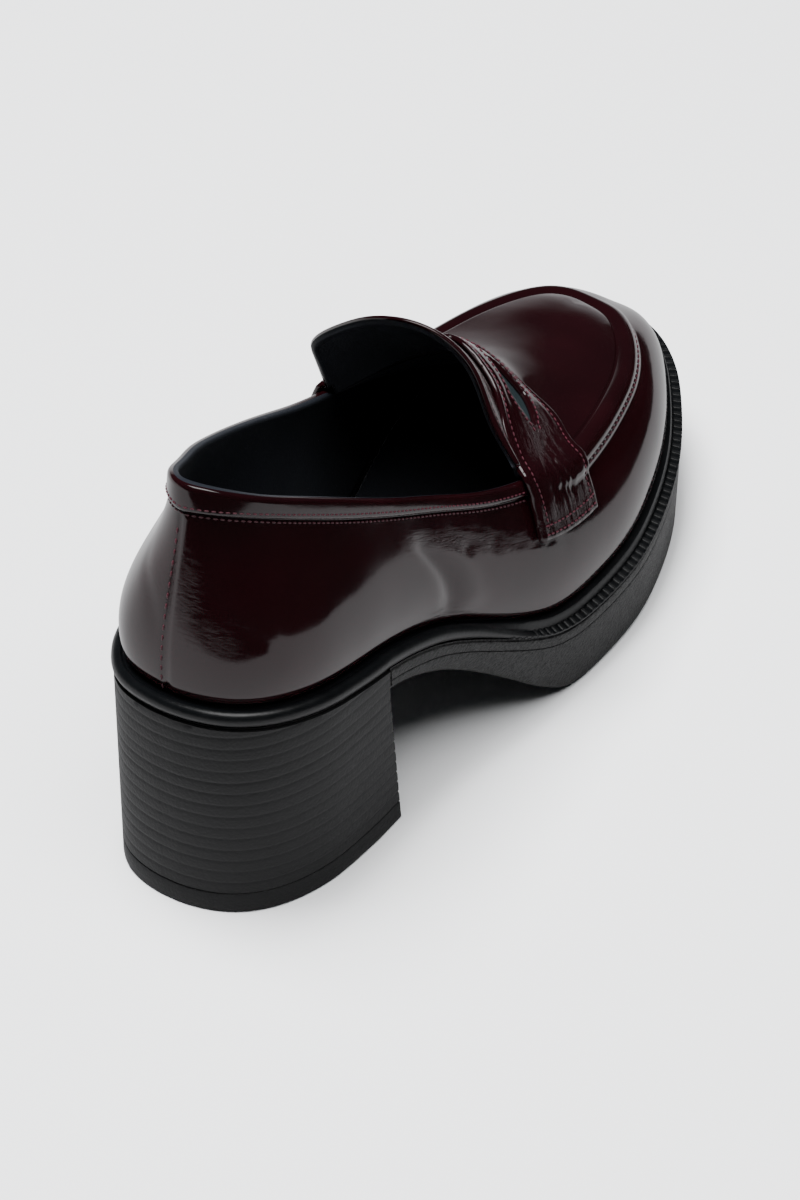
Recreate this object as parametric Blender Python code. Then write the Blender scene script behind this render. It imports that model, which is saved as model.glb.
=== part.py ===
"""Loafer pump for a right foot: a block heel, a platform forefoot, a ribbed welt and a saddle strap.

The shoe stands on the plane Z = 0. The toe points along +X, the outer side of the foot is -Y.
Every curve is read at a station: 0 is the middle of the heel back and LAST_STATION the toe tip.
A loop place q runs from 0 at the heel back, along the outer side to the toe, and back along the inner side.
"""

import math

import bpy
import numpy as np

MM = 0.001

# Driving sizes
LENGTH = 246 * MM  # heel back to toe tip, over the welt
BALL_WIDTH = 95 * MM  # across the welt at the ball
HEEL_WIDTH = 67 * MM  # across the heel block
HEEL_HEIGHT = 63.5 * MM  # floor to the top of the block, at the back
BREAST_DROP = 8.6 * MM  # how much lower the top of the block is at its front
PLATFORM = 22 * MM  # sole thickness under the ball
TOE_RISE = 9 * MM  # how much higher the sole's top is at the toe tip than at the ball
TOE_SPRING = 5 * MM  # how far the underside lifts at the toe tip
WAIST_THICKNESS = 7.8 * MM  # sole thickness at the heel breast
BREAST_PLACE = 53 * MM  # from the heel back to the top of the block's front face
BREAST_SLANT = 5 * MM  # how far that face comes forward towards the floor
TOP_LIFT = 6.5 * MM  # thickness of the heel's bottom piece
LIFT_BEVEL = 0.4 * MM  # bevel along its lower edge
LAYER_PITCH = 3.8 * MM  # height of one layer of the stacked heel
LAYER_GROOVE = 0.4 * MM  # depth of the lines between the layers
SOLE_LINE = 4.2 * MM  # how far the line along the sole's side lies below its top
SOLE_LINE_DEPTH = 0.5 * MM
SIDE_INSET = 0.4 * MM  # how far the sole's and the heel's sides lie inside the welt's edge
BEVEL_HEIGHT = 1.4 * MM  # height of the bevel along the sole's lower edge
BEVEL_INSET = 1.2 * MM  # how far the bevel's upper edge lies inside the welt's edge
TREAD_INSET = 3.2 * MM  # how far its lower edge does
COLLAR_HEIGHT = 64 * MM  # upper's height above the welt at the heel back
INSTEP_HEIGHT = 57 * MM  # upper's height above the welt at the throat
WALL = 2.0 * MM  # leather and lining together
WELT_HEIGHT = 5 * MM
WELT_LEDGE = 2.7 * MM  # how far the welt reaches in under the upper
FLANGE_HEEL = 3.0 * MM  # how far the welt stands out beyond the upper, at the heel
FLANGE_TOE = 5.0 * MM
RIB_PITCH = 2.9 * MM
RIB_DEPTH = 0.9 * MM
COLLAR_BAND = 7.5 * MM  # width of the band sewn round the collar
COLLAR_BAND_BACK = 13 * MM  # its width at the heel back
BAND_STEP = 0.8 * MM
APRON_ROLL = 8.5 * MM  # width of the raised roll round the apron
APRON_ROLL_HEIGHT = 2.2 * MM
STRAP_THICKNESS = 1.6 * MM
TONGUE_WALL = 1.8 * MM
INSOLE_TOP = 0.8 * MM  # how far the insole stands above the welt
CLEARANCE = 0.3 * MM  # gap between pieces that touch

# Mesh steps
LAST_STATION = 16
LOOP = 2 * LAST_STATION
STEPS_PER_STATION = 2
WALL_ROWS = 7
PLUG_ROWS = 4
CURVE_SAMPLES = 48

# Outline of the welt, heel back to toe tip: outer side along and out, then inner side along and out
OUTLINE = (
    (0.000, 0.000, 0.000, 0.000),
    (0.013, 0.153, 0.013, 0.153),
    (0.049, 0.262, 0.052, 0.252),
    (0.107, 0.330, 0.110, 0.316),
    (0.179, 0.354, 0.179, 0.336),
    (0.254, 0.360, 0.254, 0.320),
    (0.333, 0.380, 0.341, 0.305),
    (0.415, 0.432, 0.431, 0.325),
    (0.496, 0.477, 0.520, 0.378),
    (0.577, 0.495, 0.604, 0.438),
    (0.659, 0.487, 0.685, 0.484),
    (0.740, 0.440, 0.768, 0.498),
    (0.815, 0.370, 0.847, 0.472),
    (0.884, 0.275, 0.914, 0.412),
    (0.941, 0.158, 0.958, 0.328),
    (0.980, 0.006, 0.987, 0.220),
    (0.999, -0.108, 0.999, 0.108),
)

# Collar edge, then apron edge: outer side along, out and up, inner side along, out and up
EDGE = (
    (0.043, 0.016, 1.000, 0.043, -0.016, 1.000),
    (0.058, 0.102, 0.980, 0.064, 0.056, 0.975),
    (0.094, 0.174, 0.925, 0.110, 0.111, 0.905),
    (0.142, 0.216, 0.830, 0.157, 0.160, 0.840),
    (0.199, 0.247, 0.730, 0.207, 0.197, 0.770),
    (0.264, 0.272, 0.655, 0.268, 0.228, 0.720),
    (0.333, 0.293, 0.630, 0.333, 0.258, 0.695),
    (0.411, 0.321, 0.635, 0.411, 0.284, 0.710),
    (0.492, 0.341, 0.660, 0.492, 0.302, 0.730),
    (0.561, 0.338, 0.610, 0.561, 0.305, 0.670),
    (0.626, 0.314, 0.570, 0.626, 0.300, 0.600),
    (0.691, 0.276, 0.525, 0.695, 0.286, 0.540),
    (0.756, 0.224, 0.470, 0.760, 0.262, 0.490),
    (0.808, 0.160, 0.425, 0.814, 0.232, 0.435),
    (0.846, 0.090, 0.390, 0.852, 0.192, 0.395),
    (0.870, 0.022, 0.360, 0.875, 0.148, 0.360),
    (0.881, -0.080, 0.345, 0.881, 0.080, 0.345),
)

# Middle line of the vamp, throat to toe: station, along, across and up
THROAT_STATION = 8
SPINE = (
    (8, 0.590, 0.000, 1.000),
    (9, 0.636, 0.000, 0.812),
    (10, 0.683, 0.006, 0.712),
    (11, 0.728, 0.014, 0.642),
    (12, 0.772, 0.026, 0.581),
    (13, 0.809, 0.038, 0.535),
    (14, 0.837, 0.050, 0.493),
    (15, 0.853, 0.060, 0.462),
    (16, 0.860, 0.066, 0.446),
)

# Side of the upper: station, lean out at the welt, rise at the edge on the outer and on the inner
# side (degrees), pull of the curve at the welt and at the edge
SIDE_SHAPE = (
    (0, 3, 90, 90, 0.38, 0.36),
    (2, 13, 88, 88, 0.40, 0.33),
    (4, 11, 84, 84, 0.36, 0.32),
    (6, 12, 78, 78, 0.38, 0.32),
    (8, 9, 68, 66, 0.42, 0.32),
    (10, 6, 54, 58, 0.48, 0.36),
    (12, 4, 36, 50, 0.52, 0.42),
    (14, 0, 30, 46, 0.42, 0.42),
    (16, -16, 45, 45, 0.26, 0.38),
)

# Top of the sole in front of the heel: along, and share of the drop to the ball still left
WAIST_DROP = (
    (0.215, 1.000),
    (0.268, 0.883),
    (0.305, 0.778),
    (0.356, 0.584),
    (0.398, 0.401),
    (0.443, 0.207),
    (0.480, 0.079),
    (0.518, 0.015),
    (0.569, 0.000),
)

# Underside: along, and share of its height at the heel breast
ARCH = (
    (0.215, 1.000),
    (0.248, 0.950),
    (0.313, 0.786),
    (0.386, 0.514),
    (0.415, 0.388),
    (0.467, 0.157),
    (0.504, 0.035),
    (0.537, 0.000),
)
TREAD_END = 0.81  # where the underside starts to lift towards the toe

# Free edge of the tongue: share across, along, out and height above the throat's edge
TONGUE_EDGE = (
    (0.00, 0.480, -0.330, 0.100),
    (0.16, 0.484, -0.242, 0.330),
    (0.32, 0.504, -0.140, 0.628),
    (0.47, 0.502, -0.030, 0.785),
    (0.60, 0.496, 0.090, 0.800),
    (0.74, 0.476, 0.200, 0.755),
    (0.86, 0.450, 0.304, 0.590),
    (0.94, 0.460, 0.298, 0.390),
    (1.00, 0.474, 0.290, 0.150),
)
TONGUE_REACH = 44 * MM  # height that the last column above is a share of

# Saddle strap: share from its middle to an end, station of its rear and of its front edge
STRAP_EDGES = (
    (0.00, 7.96, 9.00),
    (0.25, 8.02, 9.20),
    (0.50, 7.98, 9.48),
    (0.75, 7.90, 9.34),
    (1.00, 7.76, 9.10),
)
STRAP_DROP = 0.435  # share of the side's height that the strap comes down
STRAP_LIFT = 0.5 * MM  # height of its back above the leather under it
SLOT_REACH = 0.42  # half length of the strap's slot, as a share of half the strap
SLOT_WIDTH = 0.30  # as a share of the strap's width
STRAP_STEPS = 17


def hermite(keys, values, at):
    """Smooth curve through the values at the keys, read at one place."""
    keys = np.asarray(keys, float)
    values = np.asarray(values, float)
    slopes = np.gradient(values, keys, axis=0)
    i = int(np.clip(np.searchsorted(keys, at, side="right") - 1, 0, len(keys) - 2))
    span = keys[i + 1] - keys[i]
    t = (at - keys[i]) / span
    return (
        values[i] * (2 * t**3 - 3 * t**2 + 1)
        + values[i + 1] * (3 * t**2 - 2 * t**3)
        + slopes[i] * span * (t**3 - 2 * t**2 + t)
        + slopes[i + 1] * span * (t**3 - t**2)
    )


def column(table, at, first=1):
    """Row of a table whose first column is the key, read between its rows."""
    rows = np.array(table, float)
    at = np.clip(at, rows[0, 0], rows[-1, 0])
    return hermite(rows[:, 0], rows[:, first:], at)


def around(rows, q):
    """Closed curve through the rows, which lie one loop place apart."""
    i = int(math.floor(q))
    t = q - i
    before, here, after, beyond = (rows[(i + k) % len(rows)] for k in (-1, 0, 1, 2))
    return 0.5 * (
        2 * here
        + (after - before) * t
        + (2 * before - 5 * here + 4 * after - beyond) * t**2
        + (3 * here - before - 3 * after + beyond) * t**3
    )


def closed_rows(outer, inner):
    """Outer side rows from heel to toe, then inner side rows back to the heel."""
    return np.array(outer + inner[-2:0:-1], float)


def station_of(q):
    """Station of a loop place: both sides count from the heel."""
    q = q % LOOP
    return min(q, LOOP - q)


def sole_top(x):
    """Height of the face that the welt and insole rest on."""
    breast = HEEL_HEIGHT - BREAST_DROP
    ball = WAIST_DROP[-1][0] * LENGTH
    if x <= BREAST_PLACE:
        return HEEL_HEIGHT - BREAST_DROP * x / BREAST_PLACE
    if x <= ball:
        return PLATFORM + column(WAIST_DROP, x / LENGTH)[0] * (breast - PLATFORM)
    return PLATFORM + TOE_RISE * ((x - ball) / (LENGTH - ball)) ** 1.8


def sole_bottom(x):
    """Height of the underside: arch, flat tread and toe spring."""
    breast = HEEL_HEIGHT - BREAST_DROP - WAIST_THICKNESS
    lift = max(0.0, (x / LENGTH - TREAD_END) / (1 - TREAD_END))
    return max(0.0, column(ARCH, x / LENGTH)[0]) * breast + TOE_SPRING * lift**1.7


def outline_width(row_along):
    """Width that the outline's shares follow: the heel's behind the waist, the ball's in front."""
    blend = min(1.0, max(0.0, (row_along - 0.176) / 0.15))
    heel_scale = HEEL_WIDTH / 0.705
    return heel_scale * (1 - blend) + BALL_WIDTH * blend


OUTLINE_LOOP = closed_rows(
    [(a * LENGTH, -b * outline_width(a)) for a, b, _, _ in OUTLINE],
    [(c * LENGTH, d * outline_width(c)) for _, _, c, d in OUTLINE],
)


def flange(q):
    """How far the welt stands out beyond the upper."""
    share = min(1.0, max(0.0, (station_of(q) - 5) / (LAST_STATION - 6)))
    return FLANGE_HEEL + (FLANGE_TOE - FLANGE_HEEL) * share


def plan(q, outward=0.0):
    """Point of the upper's foot line in plan, moved outward."""
    here = around(OUTLINE_LOOP, q)
    step = around(OUTLINE_LOOP, q + 0.01) - around(OUTLINE_LOOP, q - 0.01)
    normal = np.array((step[1], -step[0])) / np.linalg.norm(step)
    return here + normal * (outward - flange(q)), normal


def edge_rows():
    """Collar and apron edge as points in space."""
    sides = []
    for first, sign in ((0, -1), (3, 1)):
        rows = []
        for row in EDGE:
            along, out, up = row[first : first + 3]
            x = along * LENGTH
            z = sole_top(x) + WELT_HEIGHT + up * COLLAR_HEIGHT
            rows.append((x, sign * out * BALL_WIDTH, z))
        sides.append(rows)
    return closed_rows(*sides)


EDGE_LOOP = edge_rows()


def spine(station):
    """Middle line of the vamp, and its slope there."""
    def at(place):
        along, across, up = column(SPINE, place)
        x = along * LENGTH
        return np.array(
            (x, across * BALL_WIDTH, sole_top(x) + WELT_HEIGHT + up * INSTEP_HEIGHT)
        )

    station = min(max(station, SPINE[0][0] + 0.01), SPINE[-1][0] - 0.01)
    step = at(station + 0.01) - at(station - 0.01)
    return at(station), step[2] / step[0]


def bezier(p0, p1, p2, p3, t):
    t = np.asarray(t)[:, None]
    return p0 * (1 - t) ** 3 + 3 * p1 * t * (1 - t) ** 2 + 3 * p2 * t**2 * (1 - t) + p3 * t**3


def spaced(points, distances):
    """Points at the given distances along a dense curve."""
    steps = np.linalg.norm(np.diff(points, axis=0), axis=1)
    length = np.concatenate(([0.0], np.cumsum(steps)))
    return np.stack([np.interp(distances, length, points[:, k]) for k in range(3)], -1)


def arc_length(points):
    return float(np.linalg.norm(np.diff(points, axis=0), axis=1).sum())


def side_curve(q):
    """Curve of the upper's side, from the welt up to the collar or apron edge."""
    flat, normal = plan(q)
    foot = np.array((*flat, sole_top(flat[0]) + WELT_HEIGHT + 1.5 * CLEARANCE))
    edge = around(EDGE_LOOP, q)
    lean, rise_outer, rise_inner, low_pull, high_pull = column(SIDE_SHAPE, station_of(q))
    rise = rise_outer if q % LOOP <= LAST_STATION else rise_inner
    chord = np.linalg.norm(edge - foot)
    out = np.array((*normal, 0.0))
    up = np.array((0.0, 0.0, 1.0))
    inward = edge - foot
    inward[2] = 0.0
    inward = inward / max(np.linalg.norm(inward), 1e-9)
    if np.dot(inward, out) > -0.5:
        inward = -out
    lean = math.radians(lean)
    rise = math.radians(rise)
    low = foot + chord * low_pull * (up * math.cos(lean) + out * math.sin(lean))
    high = edge - chord * high_pull * (up * math.sin(rise) + inward * math.cos(rise))
    return bezier(foot, low, high, edge, np.linspace(0, 1, CURVE_SAMPLES))


def plug_curve(q):
    """Curve of the apron's inside, from its edge to the middle line."""
    edge = around(EDGE_LOOP, q)
    middle, slope = spine(station_of(q))
    across = middle - edge
    chord = np.linalg.norm(across)
    flat = across / np.linalg.norm(across[:2])
    start = np.array((flat[0], flat[1], 1.55 * flat[2] + 0.05))
    finish = np.array((flat[0], flat[1], slope * flat[0]))
    start = start / np.linalg.norm(start)
    finish = finish / np.linalg.norm(finish)
    low = edge + start * chord * 0.36
    high = middle - finish * chord * 0.36
    return bezier(edge, low, high, middle, np.linspace(0, 1, CURVE_SAMPLES))


def roll_share(q):
    """0 where the edge is the collar's band, 1 where it is the apron's roll."""
    share = (station_of(q) - 8.6) / 0.9
    share = min(1.0, max(0.0, share))
    return share * share * (3 - 2 * share)


# Collar band and apron roll: share of their width from the edge, and share of their height
BAND_PROFILE = ((1.00, 0.0), (0.96, 1.0), (0.66, 1.0), (0.33, 1.0), (0.10, 1.0), (0.00, 0.8))
ROLL_PROFILE = ((1.00, 0.0), (0.86, 0.45), (0.62, 0.9), (0.34, 1.0), (0.12, 0.8), (0.00, 0.1))


def side_rows(q):
    """Places up the side, as distances from the foot, and how far each is raised."""
    length = arc_length(side_curve(q))
    roll = roll_share(q)
    widening = max(0.0, 1 - station_of(q) / 2.5) ** 1.5
    band_width = COLLAR_BAND + (COLLAR_BAND_BACK - COLLAR_BAND) * widening
    width = band_width * (1 - roll) + APRON_ROLL * roll
    width = min(width, 0.6 * length)
    places = list(np.linspace(0, length - width, WALL_ROWS))
    raised = [0.0] * WALL_ROWS
    for band, rolled in zip(BAND_PROFILE, ROLL_PROFILE):
        share = band[0] * (1 - roll) + rolled[0] * roll
        height = band[1] * BAND_STEP * (1 - roll) + rolled[1] * APRON_ROLL_HEIGHT * roll
        if share < 1.0:
            places.append(length - width * share)
            raised.append(height)
    return places, raised


def shell(points, raised, faces, thickness, normals=None):
    """Closed solid: the outer face is raised by its own amounts, the inner face lies under it."""
    points = np.array(points)
    if normals is None:
        normals = grid_normals(points, faces)
    outer = points + normals * np.array(raised)[:, None]
    inner = points - normals * thickness
    count = len(points)
    solid = [tuple(f) for f in faces]
    solid += [tuple(i + count for i in reversed(f)) for f in faces]
    edges = {}
    for face in faces:
        for a, b in zip(face, face[1:] + face[:1]):
            edges[(a, b)] = True
    for a, b in edges:
        if (b, a) not in edges:
            solid.append((b, a, a + count, b + count))
    return np.concatenate((outer, inner)), solid


def grid_normals(points, faces):
    """Mean face normal at each point."""
    normals = np.zeros_like(points)
    for face in faces:
        corners = points[list(face)]
        flat = np.cross(corners[2] - corners[0], corners[-1] - corners[1])
        if len(face) == 3:
            flat = np.cross(corners[1] - corners[0], corners[2] - corners[0])
        for i in face:
            normals[i] += flat
    return normals / np.linalg.norm(normals, axis=1)[:, None]


def loop_places():
    """Loop places of the upper's sections, once round."""
    count = LOOP * STEPS_PER_STATION
    return [k / STEPS_PER_STATION for k in range(count)]


def upper_surface():
    """Points, raises and faces of the upper's middle surface."""
    places = loop_places()
    count = len(places)
    points, raised, faces = [], [], []
    for q in places:
        curve = side_curve(q)
        at, raise_here = side_rows(q)
        points += list(spaced(curve, at))
        raised += raise_here
    rows = len(at)
    for k in range(count):
        after = (k + 1) % count
        for r in range(rows - 1):
            faces.append((k * rows + r, after * rows + r, after * rows + r + 1, k * rows + r + 1))
    first = THROAT_STATION * STEPS_PER_STATION
    toe = LAST_STATION * STEPS_PER_STATION
    index = {}
    for k in range(first, count - first + 1):
        curve = plug_curve(places[k])
        length = arc_length(curve)
        index[k, 0] = k * rows + rows - 1
        inside = spaced(curve, np.linspace(0, length, PLUG_ROWS + 1))
        for r in range(1, PLUG_ROWS + 1):
            mirrored = count - k
            if r == PLUG_ROWS and k > toe:
                index[k, r] = index[mirrored, r]
                continue
            index[k, r] = len(points)
            points.append(inside[r])
            raised.append(0.0)
    for k in range(first, count - first):
        for r in range(PLUG_ROWS):
            corners = (index[k, r], index[k + 1, r], index[k + 1, r + 1], index[k, r + 1])
            faces.append(tuple(dict.fromkeys(corners)))
    return points, raised, faces


def upper_point(q, share):
    """Point on the upper: share 0 at the welt, 1 at the edge, 2 on the middle line."""
    if share <= 1:
        curve = side_curve(q)
        return spaced(curve, [arc_length(curve) * share])[0]
    curve = plug_curve(q)
    return spaced(curve, [arc_length(curve) * (share - 1)])[0]


def raised_near(q, share):
    """Greatest height of the collar band or apron roll close to a place on the upper."""
    heights = [0.0]
    for q_near in (q - 0.5, q, q + 0.5):
        places, raised = side_rows(q_near)
        for near in (share - 0.06, share, share + 0.06):
            if near <= 1:
                heights.append(np.interp(near * places[-1], places, raised))
            else:
                heights.append(raised[-1] * max(0.0, 1 - (near - 1) * PLUG_ROWS))
    return max(heights)


def surface_normal(q, share):
    """Outward direction of the upper there."""
    step = 0.02
    low, high = (share - step, share + step) if share < 2 - step else (share - step, share)
    if low < 1 < high:
        low, high = share - 4 * step, min(2.0, share + 4 * step)
    up = upper_point(q, high) - upper_point(q, low)
    along = upper_point(q + 0.1, share) - upper_point(q - 0.1, share)
    if share > 2 - step:
        up = np.array((0.0, math.copysign(1.0, up[1]), 0.0))
    normal = np.cross(along, up)
    return normal / np.linalg.norm(normal)


def make(name, points, faces, colour, roughness, smooth_angle=35):
    """One solid with its own material."""
    mesh = bpy.data.meshes.new(name)
    mesh.from_pydata([tuple(p) for p in points], [], faces)
    mesh.validate()
    mesh.shade_smooth()
    mesh.set_sharp_from_angle(angle=math.radians(smooth_angle))
    material = bpy.data.materials.new(name)
    material.use_nodes = True
    shader = material.node_tree.nodes["Principled BSDF"]
    shader.inputs["Base Color"].default_value = (*colour, 1.0)
    shader.inputs["Roughness"].default_value = roughness
    mesh.materials.append(material)
    solid = bpy.data.objects.new(name, mesh)
    bpy.context.scene.collection.objects.link(solid)
    return solid


PATENT = (0.045, 0.006, 0.010)
LINING = (0.008, 0.009, 0.011)
RUBBER = (0.016, 0.017, 0.018)


def make_upper():
    points, raised, faces = upper_surface()
    normals = grid_normals(np.array(points), faces)
    rows = WALL_ROWS + len(BAND_PROFILE) - 1
    foot = np.arange(0, rows * LOOP * STEPS_PER_STATION, rows)
    normals[foot, 2] = 0.0
    normals[foot] /= np.linalg.norm(normals[foot], axis=1)[:, None]
    make("upper", *shell(points, raised, faces, WALL, normals), PATENT, 0.12)


def make_tongue():
    """Flap that goes on from the vamp under the strap and stands above the collar."""
    columns, rows = 16, 4
    throat = SPINE[0][0] - 0.06
    points, raised, faces = [], [], []
    corner = upper_point(throat, 1)
    for i in range(columns + 1):
        share = i / columns
        side = share * 2 - 1
        place = 2 - abs(side)
        q = throat if side <= 0 else LOOP - throat
        base = tongue_base(q, place)
        along, out, up = column(TONGUE_EDGE, share)
        free = np.array((along * LENGTH, out * BALL_WIDTH, corner[2] + up * TONGUE_REACH))
        for j in range(rows + 1):
            t = j / rows
            swell = 4 * t * (1 - t) * 1.2 * MM
            points.append(base * (1 - t) + free * t + np.array((0, 0, swell)))
            raised.append(0.0)
    for i in range(columns):
        for j in range(rows):
            a = i * (rows + 1) + j
            faces.append((a, a + rows + 1, a + rows + 2, a + 1))
    make("tongue", *shell(points, raised, faces, TONGUE_WALL), PATENT, 0.12)


def tongue_base(q, place):
    """Where the tongue meets the vamp's throat edge."""
    spare = 0.02
    if spare > place - 1:
        place = 1 + spare
    return upper_point(q, place)


def make_strap():
    """Saddle strap over the vamp, with a long pointed slot in its middle."""
    across = [k / STRAP_STEPS for k in range(-STRAP_STEPS, STRAP_STEPS + 1)]
    points, raised, faces = [], [], []
    for share in across:
        rear, front = column(STRAP_EDGES, abs(share))
        place = 2 - abs(share) * (1 + STRAP_DROP)
        slot = SLOT_WIDTH / 2 * max(0.06, 1 - (abs(share) / SLOT_REACH) ** 1.6)
        for part in (0.0, 0.18, 0.5 - slot, 0.5 + slot, 0.82, 1.0):
            station = rear + (front - rear) * part
            q = station if share <= 0 else LOOP - station
            rise = STRAP_LIFT + STRAP_THICKNESS + raised_near(q, place)
            points.append(upper_point(q, place) + surface_normal(q, place) * rise)
            raised.append(0.0)
    for i in range(len(across) - 1):
        open_here = max(abs(across[i]), abs(across[i + 1])) <= SLOT_REACH
        for j in range(5):
            if j == 2 and open_here:
                continue
            a = i * 6 + j
            faces.append((a, a + 1, a + 7, a + 6))
    make("saddle_strap", *shell(points, raised, faces, STRAP_THICKNESS), PATENT, 0.12)


# Welt section, heel and waist: out from the upper's foot line and up from the sole, as shares
BEAD_SECTION = ((0.62, 0.0), (1.04, 0.36), (0.88, 0.84), (0.10, 1.0))
RIB_SECTION = ((1.00, 0.0), (1.00, 0.26), (0.32, 0.52), (0.10, 1.0))


def welt_places():
    """Loop places round the welt: even steps behind, one top and one foot for each rib in front."""
    start, end = 6.2, LOOP - 6.0
    smooth = list(np.linspace(end, LOOP + start, 36, endpoint=False))
    dense = np.linspace(start, end, 400)
    line = np.array([plan(q, flange(q))[0] for q in dense])
    steps = np.linalg.norm(np.diff(line, axis=0), axis=1)
    length = np.concatenate(([0.0], np.cumsum(steps)))
    count = 2 * int(round(length[-1] / RIB_PITCH))
    ribbed = list(np.interp(np.linspace(0, length[-1], count, endpoint=False), length, dense))
    return [(q % LOOP, 0.0) for q in smooth] + [(q, float(k % 2)) for k, q in enumerate(ribbed)]


def ribbed_share(q):
    """0 at the smooth heel and waist, 1 at the ribbed forefoot."""
    share = min(1.0, max(0.0, (station_of(q) - 6.1) / 1.6))
    return share * share * (3 - 2 * share)


def make_welt():
    """Ring that the upper stands on: a round bead behind, a ribbed flange in front."""
    points, faces = [], []
    places = welt_places()
    for q, tooth in places:
        blend = ribbed_share(q)
        section = [(-WELT_LEDGE, 0.0)]
        for k, (bead, rib) in enumerate(zip(BEAD_SECTION, RIB_SECTION)):
            out = (bead[0] * (1 - blend) + rib[0] * blend) * flange(q)
            up = (bead[1] * (1 - blend) + rib[1] * blend) * WELT_HEIGHT
            if k in (1, 2):
                up -= tooth * blend * RIB_DEPTH
            section.append((out, max(up, 0.0)))
        section.append((-WELT_LEDGE, WELT_HEIGHT))
        for out, up in section:
            flat, _ = plan(q, out)
            base = max(0.0, up - CLEARANCE)
            points.append((*flat, sole_top(flat[0]) + CLEARANCE + base))
    rows, count = len(section), len(places)
    for k in range(count):
        after = (k + 1) % count
        for r in range(rows):
            up = (r + 1) % rows
            faces.append((k * rows + r, after * rows + r, after * rows + up, k * rows + up))
    make("welt", points, faces, RUBBER, 0.35)


def place_at(x, inner_side):
    """Loop place whose outline point is at x, on the outer or the inner side."""
    start, end = 0.0, float(LAST_STATION)
    for _ in range(40):
        middle = (start + end) / 2
        here = around(OUTLINE_LOOP, -middle if inner_side else middle)[0]
        if here < x:
            start = middle
        else:
            end = middle
    return -middle if inner_side else middle


def cross_ring(alongs, outward, height):
    """Ring through one point on each side at each place along; height is read at x."""
    sides = []
    for inner_side in (False, True):
        side = []
        for x in alongs:
            q = place_at(x, inner_side)
            flat, _ = plan(q, flange(q) + outward(q))
            side.append((*flat, height(flat[0])))
        sides.append(side)
    return sides[0] + sides[1][::-1]


def lofted(rings):
    """Closed solid through rings of as many points each, its ends closed by strips across."""
    points = [p for ring in rings for p in ring]
    size = len(rings[0])
    faces = []
    for k in range(len(rings) - 1):
        a, b = k * size, (k + 1) * size
        for i in range(size):
            after = (i + 1) % size
            faces.append((a + i, a + after, b + after, b + i))
    last = (len(rings) - 1) * size
    for i in range(size // 2 - 1):
        ends = (i, size - 1 - i, size - 2 - i, i + 1)
        faces.append(ends)
        faces.append(tuple(last + n for n in reversed(ends)))
    return points, faces


def make_outsole():
    """Platform and arched waist in one piece, from the heel breast to the toe."""
    start = BREAST_PLACE + 2 * CLEARANCE
    bend = 0.56 * LENGTH
    alongs = list(np.linspace(start, bend, 19))
    turns = np.linspace(0, math.pi / 2, 15)[1:-1]
    alongs += [bend + (LENGTH - bend) * math.sin(turn) for turn in turns]
    side_depth = {0.0: 0.0, SOLE_LINE - SOLE_LINE_DEPTH: 0.0, SOLE_LINE: SOLE_LINE_DEPTH}
    side_depth[SOLE_LINE + SOLE_LINE_DEPTH] = 0.0
    rings = [
        cross_ring(alongs, lambda q: -TREAD_INSET, sole_bottom),
        cross_ring(alongs, lambda q: -BEVEL_INSET, lambda x: sole_bottom(x) + BEVEL_HEIGHT),
    ]
    for depth, inset in reversed(side_depth.items()):
        rings.append(
            cross_ring(
                alongs,
                lambda q, inset=inset: -SIDE_INSET - inset,
                lambda x, depth=depth: sole_top(x) - depth,
            )
        )
    make("outsole", *lofted(rings), RUBBER, 0.6)


def heel_ring(height, inset):
    """Outline of the heel block at a height, with the breast slanting forward to the floor."""
    under_sole = HEEL_HEIGHT - BREAST_DROP - WAIST_THICKNESS - 1 * MM
    level = under_sole if height is None else min(height, under_sole)
    breast = BREAST_PLACE + BREAST_SLANT * (1 - level / under_sole) - inset
    turns = np.linspace(0, math.pi / 2, 16)[1:]
    alongs = [breast * (1 - math.cos(turn)) + 0.05 * MM for turn in turns]
    return cross_ring(
        alongs,
        lambda q: -SIDE_INSET - inset,
        sole_top if height is None else lambda x: height,
    )


def make_heel():
    """Stacked heel block with a line between its layers, and its top lift."""
    rings = [heel_ring(TOP_LIFT + CLEARANCE, 0.0)]
    lowest_top = HEEL_HEIGHT - BREAST_DROP
    layers = int((lowest_top - 2 * MM - TOP_LIFT) / LAYER_PITCH)
    for k in range(1, layers + 1):
        line = TOP_LIFT + k * LAYER_PITCH
        for rise, inset in ((-1, 0.0), (0, LAYER_GROOVE), (1, 0.0)):
            rings.append(heel_ring(line + rise * LAYER_GROOVE, inset))
    rings.append(heel_ring(None, 0.0))
    make("heel_block", *lofted(rings), RUBBER, 0.55)
    lift = [heel_ring(0.0, LIFT_BEVEL), heel_ring(LIFT_BEVEL, 0.0), heel_ring(TOP_LIFT, 0.0)]
    make("top_lift", *lofted(lift), RUBBER, 0.7)


def make_insole():
    """Footbed that fills the welt ring."""
    turns = np.linspace(0, math.pi, 42)[1:-1]
    alongs = [LENGTH / 2 * (1 - math.cos(turn)) for turn in turns]
    rings = [
        cross_ring(
            alongs,
            lambda q: -flange(q) - WELT_LEDGE - CLEARANCE,
            lambda x, height=height: sole_top(x) + height,
        )
        for height in (2 * CLEARANCE, WELT_HEIGHT + INSOLE_TOP)
    ]
    make("insole", *lofted(rings), LINING, 0.8)


def centre_on_floor():
    """Moves the finished shoe so that the middle of its footprint box is the origin."""
    corners = [np.array(v.co) for o in bpy.context.scene.objects for v in o.data.vertices]
    middle = (np.min(corners, axis=0) + np.max(corners, axis=0)) / 2
    for solid in bpy.context.scene.objects:
        for vertex in solid.data.vertices:
            vertex.co.x -= middle[0]
            vertex.co.y -= middle[1]


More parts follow.
